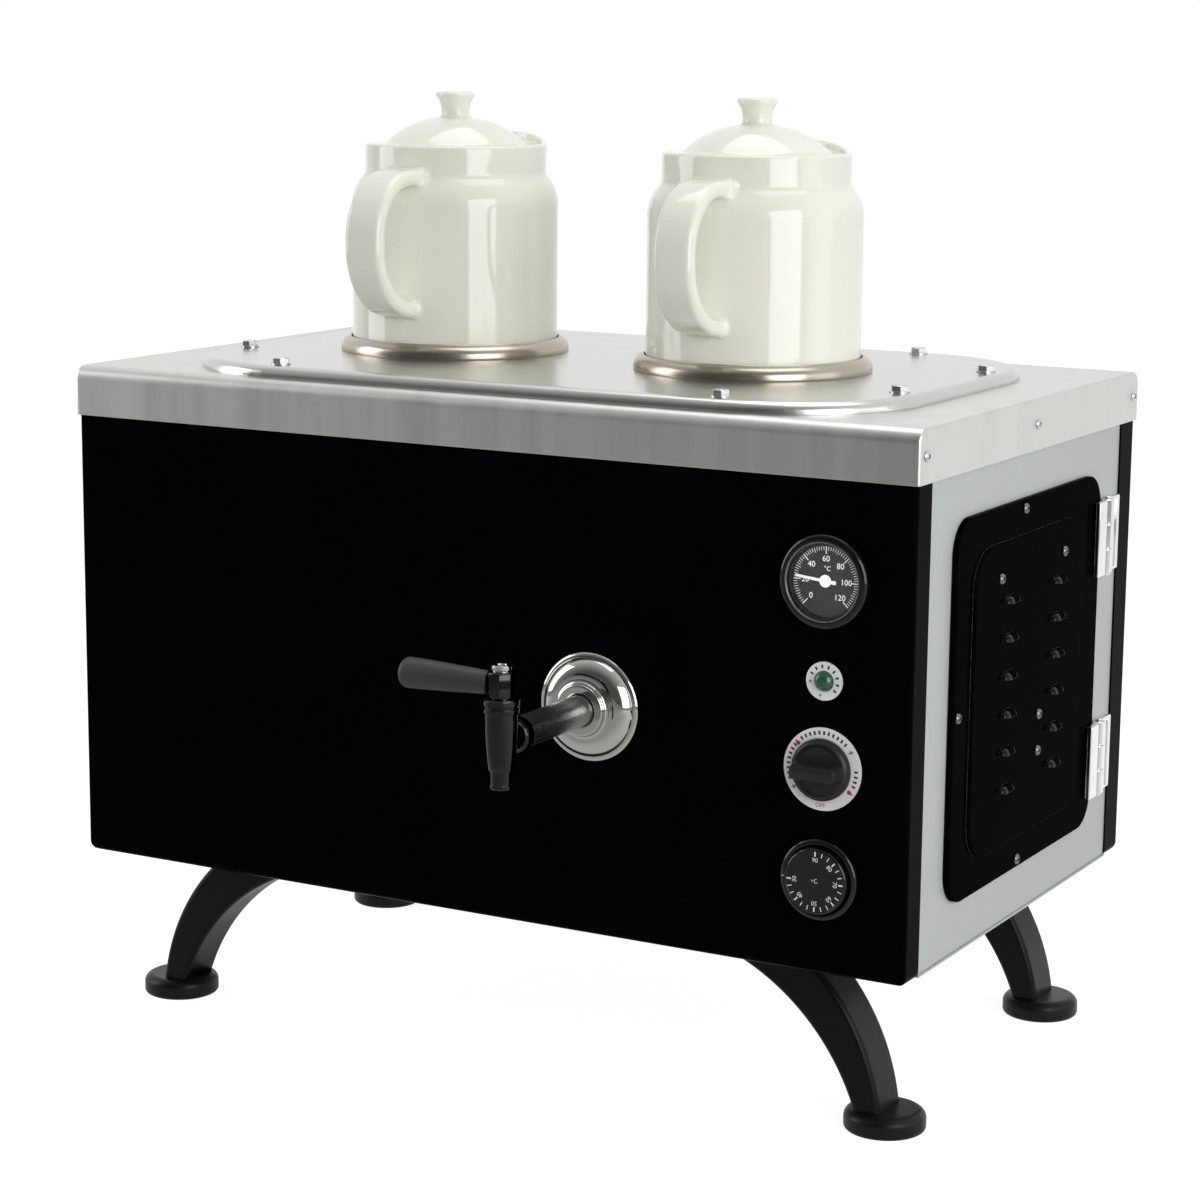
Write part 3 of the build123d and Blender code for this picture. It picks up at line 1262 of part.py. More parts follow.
def make_hinge_frame_leaves():
    """The hinges' fixed leaves, packed out to the pin's height, each with its top and bottom knuckle."""
    leaves = []
    clear = HINGE_Y + KNUCKLE_R + 2 * SLIP
    for z in HINGE_Z:
        half = HINGE_H / 2 - SLIP / 2
        leaf = block((END_OUT, HINGE_X), (clear, HINGE_Y + LEAF_W), (z - half, z + half))
        low, _, high = knuckle_spans(z)
        for span in (low, high):
            leaf += block((END_OUT, HINGE_X), (HINGE_Y + HINGE_PIN_R, clear), span)
            leaf += knuckle(span)
        leaves.append(leaf - hinge_bore(z, HINGE_PIN_R + SEAT))
    return group(leaves)


def make_hinge_door_leaves():
    """The hinges' moving leaves on the door, each with its middle knuckle."""
    leaves = []
    clear = HINGE_Y - KNUCKLE_R - 2 * SLIP
    for z in HINGE_Z:
        half = HINGE_H / 2 - SLIP / 2
        leaf = block((DOOR_FACE, DOOR_FACE + LEAF_T), (HINGE_Y - LEAF_W, clear), (z - half, z + half))
        middle = knuckle_spans(z)[1]
        leaf += block((DOOR_FACE, DOOR_FACE + LEAF_T), (clear, HINGE_Y - HINGE_PIN_R), middle)
        leaf += knuckle(middle)
        leaves.append(leaf - hinge_bore(z, HINGE_PIN_R + RUNNING))
    return group(leaves)


def make_hinge_pins():
    """Hinge pins with a flat head at each end."""
    pins = []
    for z in HINGE_Z:
        half = HINGE_H / 2
        pin = rod(HINGE_PIN_R, (HINGE_X, HINGE_Y, z - half), (HINGE_X, HINGE_Y, z + half))
        for side in (-1, 1):
            end = (HINGE_X, HINGE_Y, z + side * half)
            pin += rod(HINGE_PIN_HEAD_R, end, (HINGE_X, HINGE_Y, z + side * (half + HINGE_PIN_HEAD_H)))
        pins.append(pin)
    return group(pins)


def make_all():
    """Every piece of the tea maker by its node name, laid out around the middle of the cabinet."""
    legs = four_corners(make_leg())
    pieces = {
        "base_plate": make_base_plate(),
        "front_panel": make_front_panel(),
        "rear_panel": make_rear_panel(),
        "left_end_panel": make_end_panel(-1),
        "right_end_panel": make_end_panel(1),
        "top_cover": make_top_cover(),
        "cover_screws": make_cover_screws(),
        "leg_front_right": legs[0],
        "leg_front_left": legs[1],
        "leg_rear_right": legs[2],
        "leg_rear_left": legs[3],
        "foot_pads": group(four_corners(make_foot())),
        "leg_bolts": make_leg_bolts(),
        "deck_panel": make_deck_panel(),
        "deck_gasket": make_deck_gasket(),
        "deck_bolts": make_deck_bolts(),
        "pot_collar_left": make_collar(-POT_X),
        "pot_collar_right": make_collar(POT_X),
        "pot_left": make_pot(-POT_X),
        "pot_right": make_pot(POT_X),
        "pot_lid_left": make_lid(-POT_X),
        "pot_lid_right": make_lid(POT_X),
        "water_tank": make_water_tank(),
        "heating_element": make_heating_element(),
        "element_flange": make_element_flange(),
        "gas_burner": make_gas_burner(),
        "burner_stands": make_burner_stands(),
        "gas_pipe": make_gas_pipe(),
        "gas_valve": make_gas_valve(),
        "gas_inlet": make_gas_inlet(),
        "cable_gland": make_cable_gland(),
        "terminal_block": make_terminal_block(),
        "tap_rose": make_tap_rose(),
        "tap_pipe": make_tap_pipe(),
        "tap_back_nut": make_tap_back_nut(),
        "tap_barrel": make_tap_barrel(),
        "tap_nozzle": make_tap_nozzle(),
        "tap_head": make_tap_head(),
        "tap_cap": make_tap_cap(),
        "tap_grip": make_tap_grip(),
        "thermometer_case": make_thermometer_case(),
        "thermometer_dial": make_thermometer_dial(),
        "thermometer_glass": make_thermometer_glass(),
        "thermometer_needle": make_thermometer_needle(),
        "thermometer_probe": make_thermometer_probe(),
        "pilot_ring": make_pilot_ring(),
        "pilot_lamp": make_pilot_lamp(),
        "selector_plate": make_selector_plate(),
        "selector_knob": make_selector_knob(),
        "selector_switch": make_control_body(SELECTOR_Z, SWITCH_W, SWITCH_L),
        "thermostat_bezel": make_thermostat_bezel(),
        "thermostat_dial": make_thermostat_dial(),
        "thermostat_body": make_control_body(STAT_Z, STAT_BODY_W, STAT_BODY_L),
        "thermostat_probe": make_thermostat_probe(),
        "door_panel": make_door_panel(),
        "door_screws": make_door_screws(),
        "hinge_frame_leaves": make_hinge_frame_leaves(),
        "hinge_door_leaves": make_hinge_door_leaves(),
        "hinge_pins": make_hinge_pins(),
    }
    return pieces


pieces = make_all()
box = Compound([solid for piece in pieces.values() for solid in piece.solids()]).bounding_box()
middle_x = (box.min.X + box.max.X) / 2
middle_y = (box.min.Y + box.max.Y) / 2
os.makedirs("parts", exist_ok=True)
for name, piece in pieces.items():
    export_step(Pos(-middle_x, -middle_y, -box.min.Z) * piece, f"parts/{name}.step")
print("moved by", round(-middle_x, 4), round(-middle_y, 4), round(-box.min.Z, 4))
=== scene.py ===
"""Looks of a twin-pot tea maker: sheet metal, porcelain, polished fittings and printed scales.

The scene is in metres, +Z is up and the front looks towards -Y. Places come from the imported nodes' boxes.
Shapes are drawn in millimetres, in frames that carry them into the scene.
"""
import logging
import math
from dataclasses import dataclass
from enum import Enum
from functools import partial
from typing import Any, ClassVar, Iterable, Sequence

import bmesh
import bpy
from mathutils import Matrix, Vector


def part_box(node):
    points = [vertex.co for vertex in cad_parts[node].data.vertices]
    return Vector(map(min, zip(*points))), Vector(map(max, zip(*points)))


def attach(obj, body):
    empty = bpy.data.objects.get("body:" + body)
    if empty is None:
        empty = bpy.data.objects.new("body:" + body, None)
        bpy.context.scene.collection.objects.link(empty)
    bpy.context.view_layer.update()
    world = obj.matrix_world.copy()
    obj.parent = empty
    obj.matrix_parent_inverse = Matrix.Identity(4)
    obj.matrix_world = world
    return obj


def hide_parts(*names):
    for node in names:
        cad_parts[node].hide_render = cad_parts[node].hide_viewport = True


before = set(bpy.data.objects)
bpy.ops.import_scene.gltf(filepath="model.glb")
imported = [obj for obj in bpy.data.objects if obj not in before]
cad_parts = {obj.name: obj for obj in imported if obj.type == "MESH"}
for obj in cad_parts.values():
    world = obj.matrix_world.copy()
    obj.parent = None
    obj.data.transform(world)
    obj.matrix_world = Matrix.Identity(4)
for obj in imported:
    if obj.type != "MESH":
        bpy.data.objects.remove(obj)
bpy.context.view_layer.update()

LOG = logging.getLogger("tea_maker")

MM = 0.001  # A millimetre of a shape, in metres
TINY = 1e-7  # Vertices of a shape this close are one
WELD_GAP = 0.01 * MM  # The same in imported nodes
ON_AXIS = 1e-4  # A ring with a smaller radius is a point
CLOSE = 0.001  # Play when radii are compared
TURN_STEPS = 96
ARC_STEPS = 6
SHARP = math.radians(38.0)
PRINT_DEPTH = 0.05
WHITE = (1.0, 1.0, 1.0, 1.0)
SIDES = ("left", "right")
NOISE_SPAN = (0.28, 0.72)
EDGE_SPAN = (0.995, 0.80)
LEAST_ROUGHNESS = 0.01

Colour = tuple[float, float, float]
Point = tuple[float, float]
Corner = tuple[float, float, float]
Tree = bpy.types.NodeTree
Socket = bpy.types.NodeSocket


class Body(Enum):
    """Rigid bodies that pieces ride on."""

    CABINET = "cabinet"
    DOOR = "door"
    TAP = "tap_handle"
    SELECTOR = "selector"
    THERMOSTAT = "thermostat"
    NEEDLE = "needle"
    POT_LEFT = "pot_left"
    POT_RIGHT = "pot_right"
    LID_LEFT = "lid_left"
    LID_RIGHT = "lid_right"


class Effect(Enum):
    """Shared surface effects, each kept as one node group."""

    GRAIN = "surface_grain"
    TONE = "uneven_tone"
    GLOSS = "uneven_gloss"
    EDGE = "rounded_edge"
    # Painted highlight along edges, partly rubbed wear
    RUB = "edge_wear_and_painted_highlight"
    DUST = "settled_dust"


# Shared effects

SOCKET_KINDS = {"Vector": "Vector", "Normal": "Vector", "Colour": "Color", "WearAndHighlight": "Color", "Dust": "Color"}


def new_group(effect: Effect, inputs: Sequence[str], outputs: Sequence[str]) -> Tree:
    """Start a node group with named sockets.

    Args:
        effect: The effect that the group holds.
        inputs: Names of its inputs.
        outputs: Names of its outputs.

    Returns:
        The group's tree, with its input and output nodes in place.
    """
    tree = bpy.data.node_groups.new(effect.value, "ShaderNodeTree")
    for way, names in (("INPUT", inputs), ("OUTPUT", outputs)):
        for name in names:
            kind = SOCKET_KINDS.get(name, "Float")
            tree.interface.new_socket(name=name, in_out=way, socket_type=f"NodeSocket{kind}")
    tree.nodes.new("NodeGroupInput").name = "in"
    tree.nodes.new("NodeGroupOutput").name = "out"
    return tree


def feed(tree: Tree, socket: Socket, value: Any) -> None:
    """Link a socket to another, or set its own value.

    Args:
        tree: The tree that both sockets are in.
        socket: The input to feed.
        value: An output socket, or a plain value.
    """
    if isinstance(value, Socket):
        tree.links.new(value, socket)
    else:
        socket.default_value = value


def given(tree: Tree, name: str) -> Socket:
    """An input of a group, as its tree sees it."""
    return tree.nodes["in"].outputs[name]


def give(tree: Tree, name: str, value: Socket) -> None:
    """Hand a value to an output of a group."""
    feed(tree, tree.nodes["out"].inputs[name], value)


def add_node(
    tree: Tree, kind: str, inputs: dict[Any, Any] | None = None, **settings: Any
) -> bpy.types.Node:
    """Add a shader node.

    Args:
        tree: The tree to add it to.
        kind: The node's type, without its prefix.
        inputs: Sockets or plain values by input name or number.
        **settings: The node's own settings.

    Returns:
        The new node.
    """
    made = tree.nodes.new(f"ShaderNode{kind}")
    for name, value in settings.items():
        setattr(made, name, value)
    for name, value in (inputs or {}).items():
        feed(tree, made.inputs[name], value)
    return made


def math_node(tree: Tree, operation: str, *values: Any) -> Socket:
    """The output of a new Math node with some inputs, as sockets or numbers."""
    return add_node(tree, "Math", dict(enumerate(values)), operation=operation).outputs[0]


def mapped(tree: Tree, value: Socket, span: Point, low: float = 0.0) -> Socket:
    """Map the span of a value to what lies between a low end and 1."""
    ramp = {"Value": value, "From Min": span[0], "From Max": span[1], "To Min": low}
    return add_node(tree, "MapRange", ramp).outputs["Result"]


def strayed(tree: Tree, mean: Any) -> Socket:
    """Let a value stray with the grain, by the group's own spread.

    Args:
        tree: The group's tree.
        mean: The value's mean.

    Returns:
        The uneven value.
    """
    both = math_node(tree, "ADD", given(tree, "Fine"), given(tree, "Cloud"))
    stray = math_node(tree, "SUBTRACT", both, 1.0)
    return math_node(tree, "MULTIPLY_ADD", stray, given(tree, "Spread"), mean)


def give_mix(tree: Tree, share: Socket, other: str) -> None:
    """Let the group's colour give way to another of its inputs.

    Args:
        tree: The group's tree.
        share: How much of the other colour shows.
        other: Name of the other colour.
    """
    colours = {"Factor": share, "A": given(tree, "Colour"), "B": given(tree, other)}
    give(tree, "Colour", add_node(tree, "Mix", colours, data_type="RGBA").outputs["Result"])


def build_grain() -> Tree:
    """Fine and cloudy noise along stretched coordinates.

    Returns:
        The group's tree.
    """
    tree = new_group(Effect.GRAIN, ["Vector"], ["Fine", "Cloud"])
    for name, scale, detail in (("Fine", 1.0, 4.0), ("Cloud", 0.035, 2.0)):
        noise = {"Vector": given(tree, "Vector"), "Scale": scale, "Detail": detail}
        value = add_node(tree, "TexNoise", noise).outputs["Fac"]
        give(tree, name, mapped(tree, value, NOISE_SPAN))
    return tree


def build_tone() -> Tree:
    """A colour that strays lighter and darker with the grain.

    Returns:
        The group's tree.
    """
    tree = new_group(Effect.TONE, ["Colour", "Fine", "Cloud", "Spread"], ["Colour"])
    inputs = {0: given(tree, "Colour"), "Scale": strayed(tree, 1.0)}
    scaled = add_node(tree, "VectorMath", inputs, operation="SCALE")
    give(tree, "Colour", scaled.outputs[0])
    return tree


def build_gloss() -> Tree:
    """A roughness that strays with the grain.

    Returns:
        The group's tree.
    """
    tree = new_group(Effect.GLOSS, ["Roughness", "Fine", "Cloud", "Spread"], ["Roughness"])
    rough = strayed(tree, given(tree, "Roughness"))
    give(tree, "Roughness", math_node(tree, "MAXIMUM", rough, LEAST_ROUGHNESS))
    return tree


def build_edge() -> Tree:
    """Softly rounded edges: their normal, and a mask of where they are.

    Returns:
        The group's tree.
    """
    tree = new_group(Effect.EDGE, ["Radius"], ["Normal", "Mask"])
    bevel = add_node(tree, "Bevel", {"Radius": given(tree, "Radius")}, samples=6).outputs["Normal"]
    flat = add_node(tree, "NewGeometry").outputs["Normal"]
    turn = add_node(tree, "VectorMath", {0: bevel, 1: flat}, operation="DOT_PRODUCT").outputs["Value"]
    give(tree, "Normal", bevel)
    give(tree, "Mask", mapped(tree, turn, EDGE_SPAN))
    return tree


def build_rub() -> Tree:
    """Painted highlight along edges, partly rubbed wear: the colour turns towards the edge colour where the
    edge mask and the grain meet.

    Returns:
        The group's tree.
    """
    tree = new_group(Effect.RUB, ["Colour", "Mask", "Fine", "WearAndHighlight"], ["Colour"])
    give_mix(tree, math_node(tree, "MULTIPLY", given(tree, "Mask"), given(tree, "Fine")), "WearAndHighlight")
    return tree


def build_dust() -> Tree:
    """A little pale dust on what faces up.

    Returns:
        The group's tree.
    """
    tree = new_group(Effect.DUST, ["Colour", "Cloud", "Amount", "Dust"], ["Colour"])
    normal = add_node(tree, "NewGeometry").outputs["Normal"]
    height = add_node(tree, "SeparateXYZ", {0: normal}).outputs["Z"]
    patch = math_node(tree, "MULTIPLY", math_node(tree, "MAXIMUM", height, 0.0), given(tree, "Cloud"))
    give_mix(tree, math_node(tree, "MULTIPLY", patch, given(tree, "Amount")), "Dust")
    return tree


EFFECT_BUILDERS = {
    Effect.GRAIN: build_grain,
    Effect.TONE: build_tone,
    Effect.GLOSS: build_gloss,
    Effect.EDGE: build_edge,
    Effect.RUB: build_rub,
    Effect.DUST: build_dust,
}


def use(tree: Tree, effect: Effect, **values: Any) -> dict[str, Socket]:
    """Place a shared effect in a material.

    Args:
        tree: The material's tree.
        effect: The effect to place.
        **values: Its inputs by name, as sockets or plain values.

    Returns:
        The effect's outputs by name.
    """
    group = bpy.data.node_groups.get(effect.value) or EFFECT_BUILDERS[effect]()
    return dict(add_node(tree, "Group", values, node_tree=group).outputs.items())


# Finishes

@dataclass(frozen=True)
class Finish:
    """A surface finish with the small unevenness that the real one shows, and on many a painted highlight
    along the edges.

    Attributes:
        name: Name of the material.
        slot: The record's material slot that the finish belongs to; not used.
        colour: Base colour.
        roughness: Mean roughness.
        grain: Marks per metre, the same all round or along X, Y and Z.
        tone: How far the colour strays.
        gloss: How far the roughness strays.
        relief: Height of the grain, in millimetres.
        edge: Radius of the softened edges, in millimetres.
        worn: Colour painted along the edges, lighter on most finishes as a painted highlight and partly
            rubbed wear, or None.
        dust: Share of dust on upward faces.
        metallic: Share of bare metal.
        specular: Level of the mirrored light.
        coat: Weight of a clear coat.
        coat_roughness: Roughness of that coat.
        transmission: Share of the light that goes through.
        ior: Index of refraction.
    """

    name: str
    slot: str
    colour: Colour
    roughness: float
    grain: float | Corner = 400.0
    tone: float = 0.05
    gloss: float = 0.03
    relief: float = 0.0
    edge: float = 0.0
    worn: Colour | None = None
    dust: float = 0.0
    metallic: float = 0.0
    specular: float = 0.5
    coat: float = 0.0
    coat_roughness: float = 0.05
    transmission: float = 0.0
    ior: float = 1.5

    DUST_COLOUR: ClassVar[Colour] = (0.55, 0.54, 0.52)

    def material(self) -> bpy.types.Material:
        """The finish as a material, made on first use.

        Returns:
            The material.
        """
        title = f"{self.name}_finish"
        made = bpy.data.materials.get(title)
        if made is None:
            made = bpy.data.materials.new(title)
            made.use_nodes = True
            self.wire(made.node_tree)
        return made

    def constants(self) -> dict[str, float]:
        """Values that are the same all over the surface.

        Returns:
            The values by shader socket.
        """
        return {
            "Metallic": self.metallic,
            "Specular IOR Level": self.specular,
            "Coat Weight": self.coat,
            "Coat Roughness": self.coat_roughness,
            "Transmission Weight": self.transmission,
            "IOR": self.ior,
        }

    def wire(self, tree: Tree) -> None:
        """Wire the finish's nodes.

        Args:
            tree: The new material's tree.
        """
        shader = tree.nodes["Principled BSDF"].inputs
        for socket, value in self.constants().items():
            shader[socket].default_value = value
        scale = self.grain if isinstance(self.grain, tuple) else (self.grain,) * 3
        place = add_node(tree, "TexCoord").outputs["Object"]
        marks = add_node(tree, "Mapping", {"Vector": place, "Scale": scale}).outputs["Vector"]
        grain = use(tree, Effect.GRAIN, Vector=marks)
        colour = use(tree, Effect.TONE, Colour=(*self.colour, 1.0), Spread=self.tone, **grain)["Colour"]
        rough = use(tree, Effect.GLOSS, Roughness=self.roughness, Spread=self.gloss, **grain)
        normal = None
        if self.edge:
            edge = use(tree, Effect.EDGE, Radius=self.edge * MM)
            normal = edge["Normal"]
            # Painted highlight along rounded edges, partly rubbed wear: the colour turns towards the edge
            # colour there.
            if self.worn:
                wear_and_highlight_mix = {"Mask": edge["Mask"], "Fine": grain["Fine"], "WearAndHighlight": (*self.worn, 1.0)}
                colour = use(tree, Effect.RUB, Colour=colour, **wear_and_highlight_mix)["Colour"]
        if self.dust:
            dust = {"Cloud": grain["Cloud"], "Amount": self.dust, "Dust": (*self.DUST_COLOUR, 1.0)}
            colour = use(tree, Effect.DUST, Colour=colour, **dust)["Colour"]
        if self.relief:
            bump = add_node(tree, "Bump", {"Distance": self.relief * MM, "Height": grain["Fine"]})
            if normal:
                feed(tree, bump.inputs["Normal"], normal)
            normal = bump.outputs["Normal"]
        feed(tree, shader["Base Color"], colour)
        feed(tree, shader["Roughness"], rough["Roughness"])
        if normal:
            feed(tree, shader["Normal"], normal)


def grey(level: float) -> Colour:
    """A colour without hue."""
    return (level, level, level)


Metal = partial(Finish, metallic=1.0)

BLACK_ENAMEL = Finish(
    "black_enamel", "black_enamel", (0.0016, 0.0015, 0.0022), 0.12, grain=520.0, tone=0.2,
    relief=0.004, edge=0.8, worn=grey(0.012), specular=0.006,
)
# The pale edge colour paints thin highlights along the door's edges and embossing.
DOOR_ENAMEL = Finish(
    "door_enamel", "black_enamel", (0.0018, 0.0017, 0.0020), 0.12, grain=420.0, tone=0.2,
    relief=0.006, edge=0.7, worn=grey(0.16), specular=0.0008,
)
GREY_ENAMEL = Finish(
    "grey_enamel", "grey_enamel", (0.50, 0.525, 0.505), 0.42, grain=700.0, tone=0.03,
    relief=0.02, edge=0.5, worn=(0.62, 0.64, 0.62), specular=0.4,
)
BRUSHED_COVER = Metal(
    "brushed_cover", "brushed_cover", (0.61, 0.61, 0.59), 0.40, grain=(1700.0, 1700.0, 14.0), tone=0.07,
    gloss=0.06, relief=0.008, edge=0.8, worn=(0.8, 0.8, 0.79),
)
SATIN_DECK = Metal(
    "satin_deck", "satin_deck", (0.57, 0.57, 0.55), 0.24, grain=(10.0, 1300.0, 1300.0), tone=0.05,
    gloss=0.05, relief=0.008, edge=0.6, worn=(0.75, 0.75, 0.74), dust=0.03,
)
# Colour darkened and warmed below that of polished steel: painted shade for the dark surroundings that the
# collars reflect.
POLISHED_COLLAR = Metal(
    "polished_collar", "polished_steel", (0.42, 0.39, 0.33), 0.25, grain=(60.0, 60.0, 1600.0), tone=0.07,
    gloss=0.05, relief=0.004,
)
CHROME = Metal(
    "chrome_plate", "polished_steel", (0.52, 0.51, 0.485), 0.06, grain=240.0, tone=0.03,
    gloss=0.025, relief=0.003, edge=0.25,
)
# Chrome painted far darker than real chrome: painted shade for the dark surroundings that the barrel,
# nozzle and head reflect.
TAP_CHROME_PAINTED_DARK = Metal(
    "tap_chrome_painted_dark", "polished_steel", (0.04, 0.039, 0.037), 0.05, grain=240.0, tone=0.03,
    gloss=0.025, relief=0.003, edge=0.25,
)
PIPE_CHROME = Metal(
    "pipe_chrome", "polished_steel", (0.50, 0.495, 0.48), 0.27, grain=(300.0, 40.0, 300.0), tone=0.03,
    gloss=0.04, relief=0.003,
)
SCREW_DARK = Metal(
    "screw_dark", "zinc_fixings", grey(0.16), 0.2, grain=900.0, tone=0.12,
    gloss=0.08, relief=0.006, edge=0.25,
)
HINGE_CHROME = Metal(
    "hinge_chrome", "polished_steel", grey(0.72), 0.09, grain=300.0, tone=0.04, relief=0.004, edge=0.3,
)
ZINC = Metal(
    "zinc_plate", "zinc_fixings", (0.55, 0.55, 0.54), 0.24, grain=900.0, tone=0.12,
    gloss=0.1, relief=0.01, edge=0.25, worn=(0.75, 0.75, 0.74),
)
TRIM_GREY = Metal(
    "trim_grey", "zinc_fixings", grey(0.30), 0.3, grain=800.0, tone=0.1, gloss=0.05, relief=0.004,
)
SHEET_ZINC = Metal(
    "galvanised_sheet", "zinc_fixings", (0.42, 0.43, 0.44), 0.38, grain=180.0, tone=0.16,
    gloss=0.1, relief=0.01, edge=0.4,
)
CAST_BLACK = Finish(
    "cast_black", "cast_black", (0.0032, 0.0032, 0.0034), 0.32, grain=1100.0, tone=0.2,
    gloss=0.08, relief=0.03, edge=1.0, worn=grey(0.02), specular=0.13,
)
RUBBER = Finish(
    "black_rubber", "black_rubber", (0.004, 0.004, 0.0042), 0.36, grain=900.0, tone=0.2,
    gloss=0.08, relief=0.02, dust=0.004, specular=0.2,
)
PORCELAIN = Finish(
    "glazed_porcelain", "porcelain", (0.885, 0.89, 0.79), 0.09, grain=160.0, tone=0.012,
    gloss=0.015, relief=0.01, specular=0.45, coat=0.2, coat_roughness=0.04,
)
BLACK_PLASTIC = Finish(
    "black_plastic", "black_plastic", grey(0.012), 0.42, grain=1500.0, tone=0.15,
    gloss=0.06, relief=0.02, edge=0.4, worn=grey(0.05), specular=0.4,
)
GLOSS_BLACK = Finish(
    "gloss_black", "gloss_black", grey(0.003), 0.13, grain=700.0, tone=0.1,
    gloss=0.04, relief=0.006, edge=0.3, specular=0.45,
)
# The pale edge colour paints glints along the louvres' edges.
LOUVRE_GLOSS = Finish(
    "louvre_gloss", "black_enamel", grey(0.003), 0.1, grain=500.0, tone=0.1,
    gloss=0.04, relief=0.004, edge=0.3, worn=grey(0.08), specular=0.14,
)
GRIP_PLASTIC = Finish(
    "grip_plastic", "black_plastic", grey(0.042), 0.5, grain=(350.0, 2600.0, 2600.0), tone=0.22,
    gloss=0.08, relief=0.03, specular=0.4,
)
DIAL_BLACK = Finish(
    "dial_black", "black_plastic", grey(0.018), 0.6, grain=3000.0, tone=0.3, relief=0.01, specular=0.3,
)
LABEL_WHITE = Finish(
    "label_white", "white_plastic", (0.86, 0.86, 0.84), 0.4, grain=1500.0,
    relief=0.006, edge=0.2, worn=(0.75, 0.75, 0.74), specular=0.4,
)
INK_WHITE = Finish("ink_white", "white_plastic", (0.90, 0.90, 0.88), 0.5, tone=0.06)
INK_BLACK = Finish("ink_black", "black_plastic", grey(0.015), 0.5, tone=0.1)
INK_GREEN = Finish("ink_green", "green_lens", (0.0, 0.19, 0.10), 0.5, tone=0.08)
INK_RED = Finish("ink_red", "white_plastic", (0.55, 0.015, 0.03), 0.5, tone=0.08)
NEEDLE_WHITE = Finish(
    "needle_white", "white_plastic", (0.86, 0.86, 0.84), 0.4, grain=900.0, tone=0.03, edge=0.1,
)
PILOT_GREEN = Finish(
    "pilot_green", "green_lens", (0.0, 0.085, 0.042), 0.12, grain=700.0, tone=0.35,
    gloss=0.05, relief=0.12, specular=0.6, coat=0.5,
)
CLEAR_GLASS = Finish(
    "clear_glass", "clear_glass", (0.97, 0.98, 0.98), 0.02, tone=0.01, gloss=0.008,
    transmission=1.0, ior=1.22,
)
ELEMENT = Metal(
    "element_sheath", "element_sheath", (0.36, 0.34, 0.31), 0.4, grain=500.0, tone=0.25,
    gloss=0.1, relief=0.02,
)
BURNER = Finish(
    "burner_iron", "burner_iron", (0.07, 0.068, 0.066), 0.55, grain=600.0, tone=0.3,
    gloss=0.1, relief=0.05, edge=0.4, metallic=0.7,
)
COPPER = Metal(
    "copper_line", "copper_line", (0.66, 0.36, 0.24), 0.28, grain=150.0, tone=0.2,
    gloss=0.1, relief=0.01,
)
BRASS = Metal(
    "brass_fittings", "brass_fittings", (0.68, 0.52, 0.26), 0.26, grain=600.0, tone=0.15,
    gloss=0.08, relief=0.01, edge=0.3,
)


# Frames and outlines

def front_place(x: float, y: float, z: float) -> Matrix:
    """A frame on the front, its X to the right, its Y up and its Z towards the user."""
    return Matrix(((MM, 0, 0, x), (0, 0, -MM, y), (0, MM, 0, z), (0, 0, 0, 1)))


def end_place(x: float, y: float, z: float) -> Matrix:
    """A frame on the right end, its X to the rear, its Y up and its Z out of the end."""
    return Matrix(((0, 0, MM, x), (MM, 0, 0, y), (0, MM, 0, z), (0, 0, 0, 1)))


def left_end_place(x: float, y: float, z: float) -> Matrix:
    """A frame on the left end, its X to the front, its Y up and its Z out of the end."""
    return Matrix(((0, 0, -MM, x), (-MM, 0, 0, y), (0, MM, 0, z), (0, 0, 0, 1)))


def upright_place(x: float, y: float, z: float) -> Matrix:
    """A frame that stands upright at a point."""
    return Matrix(((MM, 0, 0, x), (0, MM, 0, y), (0, 0, MM, z), (0, 0, 0, 1)))


def spun(place: Matrix, degrees: float) -> Matrix:
    """A frame turned about its own Z."""
    return place @ Matrix.Rotation(math.radians(degrees), 4, "Z")


def shifted(place: Matrix, x: float, y: float, z: float = 0.0) -> Matrix:
    """A frame moved along its own axes."""
    return place @ Matrix.Translation((x, y, z))


def on_dial(place: Matrix, angle: float, radius: float) -> Matrix:
    """A frame moved out on a dial, at an angle in degrees clockwise from twelve o'clock."""
    turn = math.radians(angle)
    return shifted(place, radius * math.sin(turn), radius * math.cos(turn))


def rounded(corners: Sequence[Corner], closed: bool = False, steps: int = ARC_STEPS) -> list[Point]:
    """Round the corners of an outline with arcs.

    Args:
        corners: Points with the radius of each corner.
        closed: Whether the last point joins the first.
        steps: Steps in each arc.

    Returns:
        The outline's points.
    """
    points: list[Point] = []
    last = len(corners) - 1
    for index, (x, y, radius) in enumerate(corners):
        end = not closed and index in (0, last)
        if radius <= 0 or end:
            points.append((x, y))
            continue
        here = Vector((x, y))
        back = (Vector(corners[index - 1][:2]) - here).normalized()
        ahead = (Vector(corners[(index + 1) % len(corners)][:2]) - here).normalized()
        half = back.angle(ahead) / 2
        centre = here + (back + ahead).normalized() * (radius / math.sin(half))
        start = here + back * (radius / math.tan(half)) - centre
        sweep = start.angle_signed(here + ahead * (radius / math.tan(half)) - centre)
        for step in range(steps + 1):
            spot = centre + Matrix.Rotation(-sweep * step / steps, 2) @ start
            points.append((spot.x, spot.y))
    return points


def bow(start: Point, end: Point, sag: float, steps: int) -> list[Point]:
    """A shallow curve between two points.

    Args:
        start: First point.
        end: Last point.
        sag: How far the middle stands off to the right of the way from start to end.
        steps: Steps along the curve.

    Returns:
        The points after the start, up to the end.
    """
    way = Vector(end) - Vector(start)
    side = Vector((way.y, -way.x)).normalized()
    shares = [step / steps for step in range(1, steps + 1)]
    spots = [Vector(start) + way * share + side * (4 * sag * share * (1 - share)) for share in shares]
    return [(spot.x, spot.y) for spot in spots]


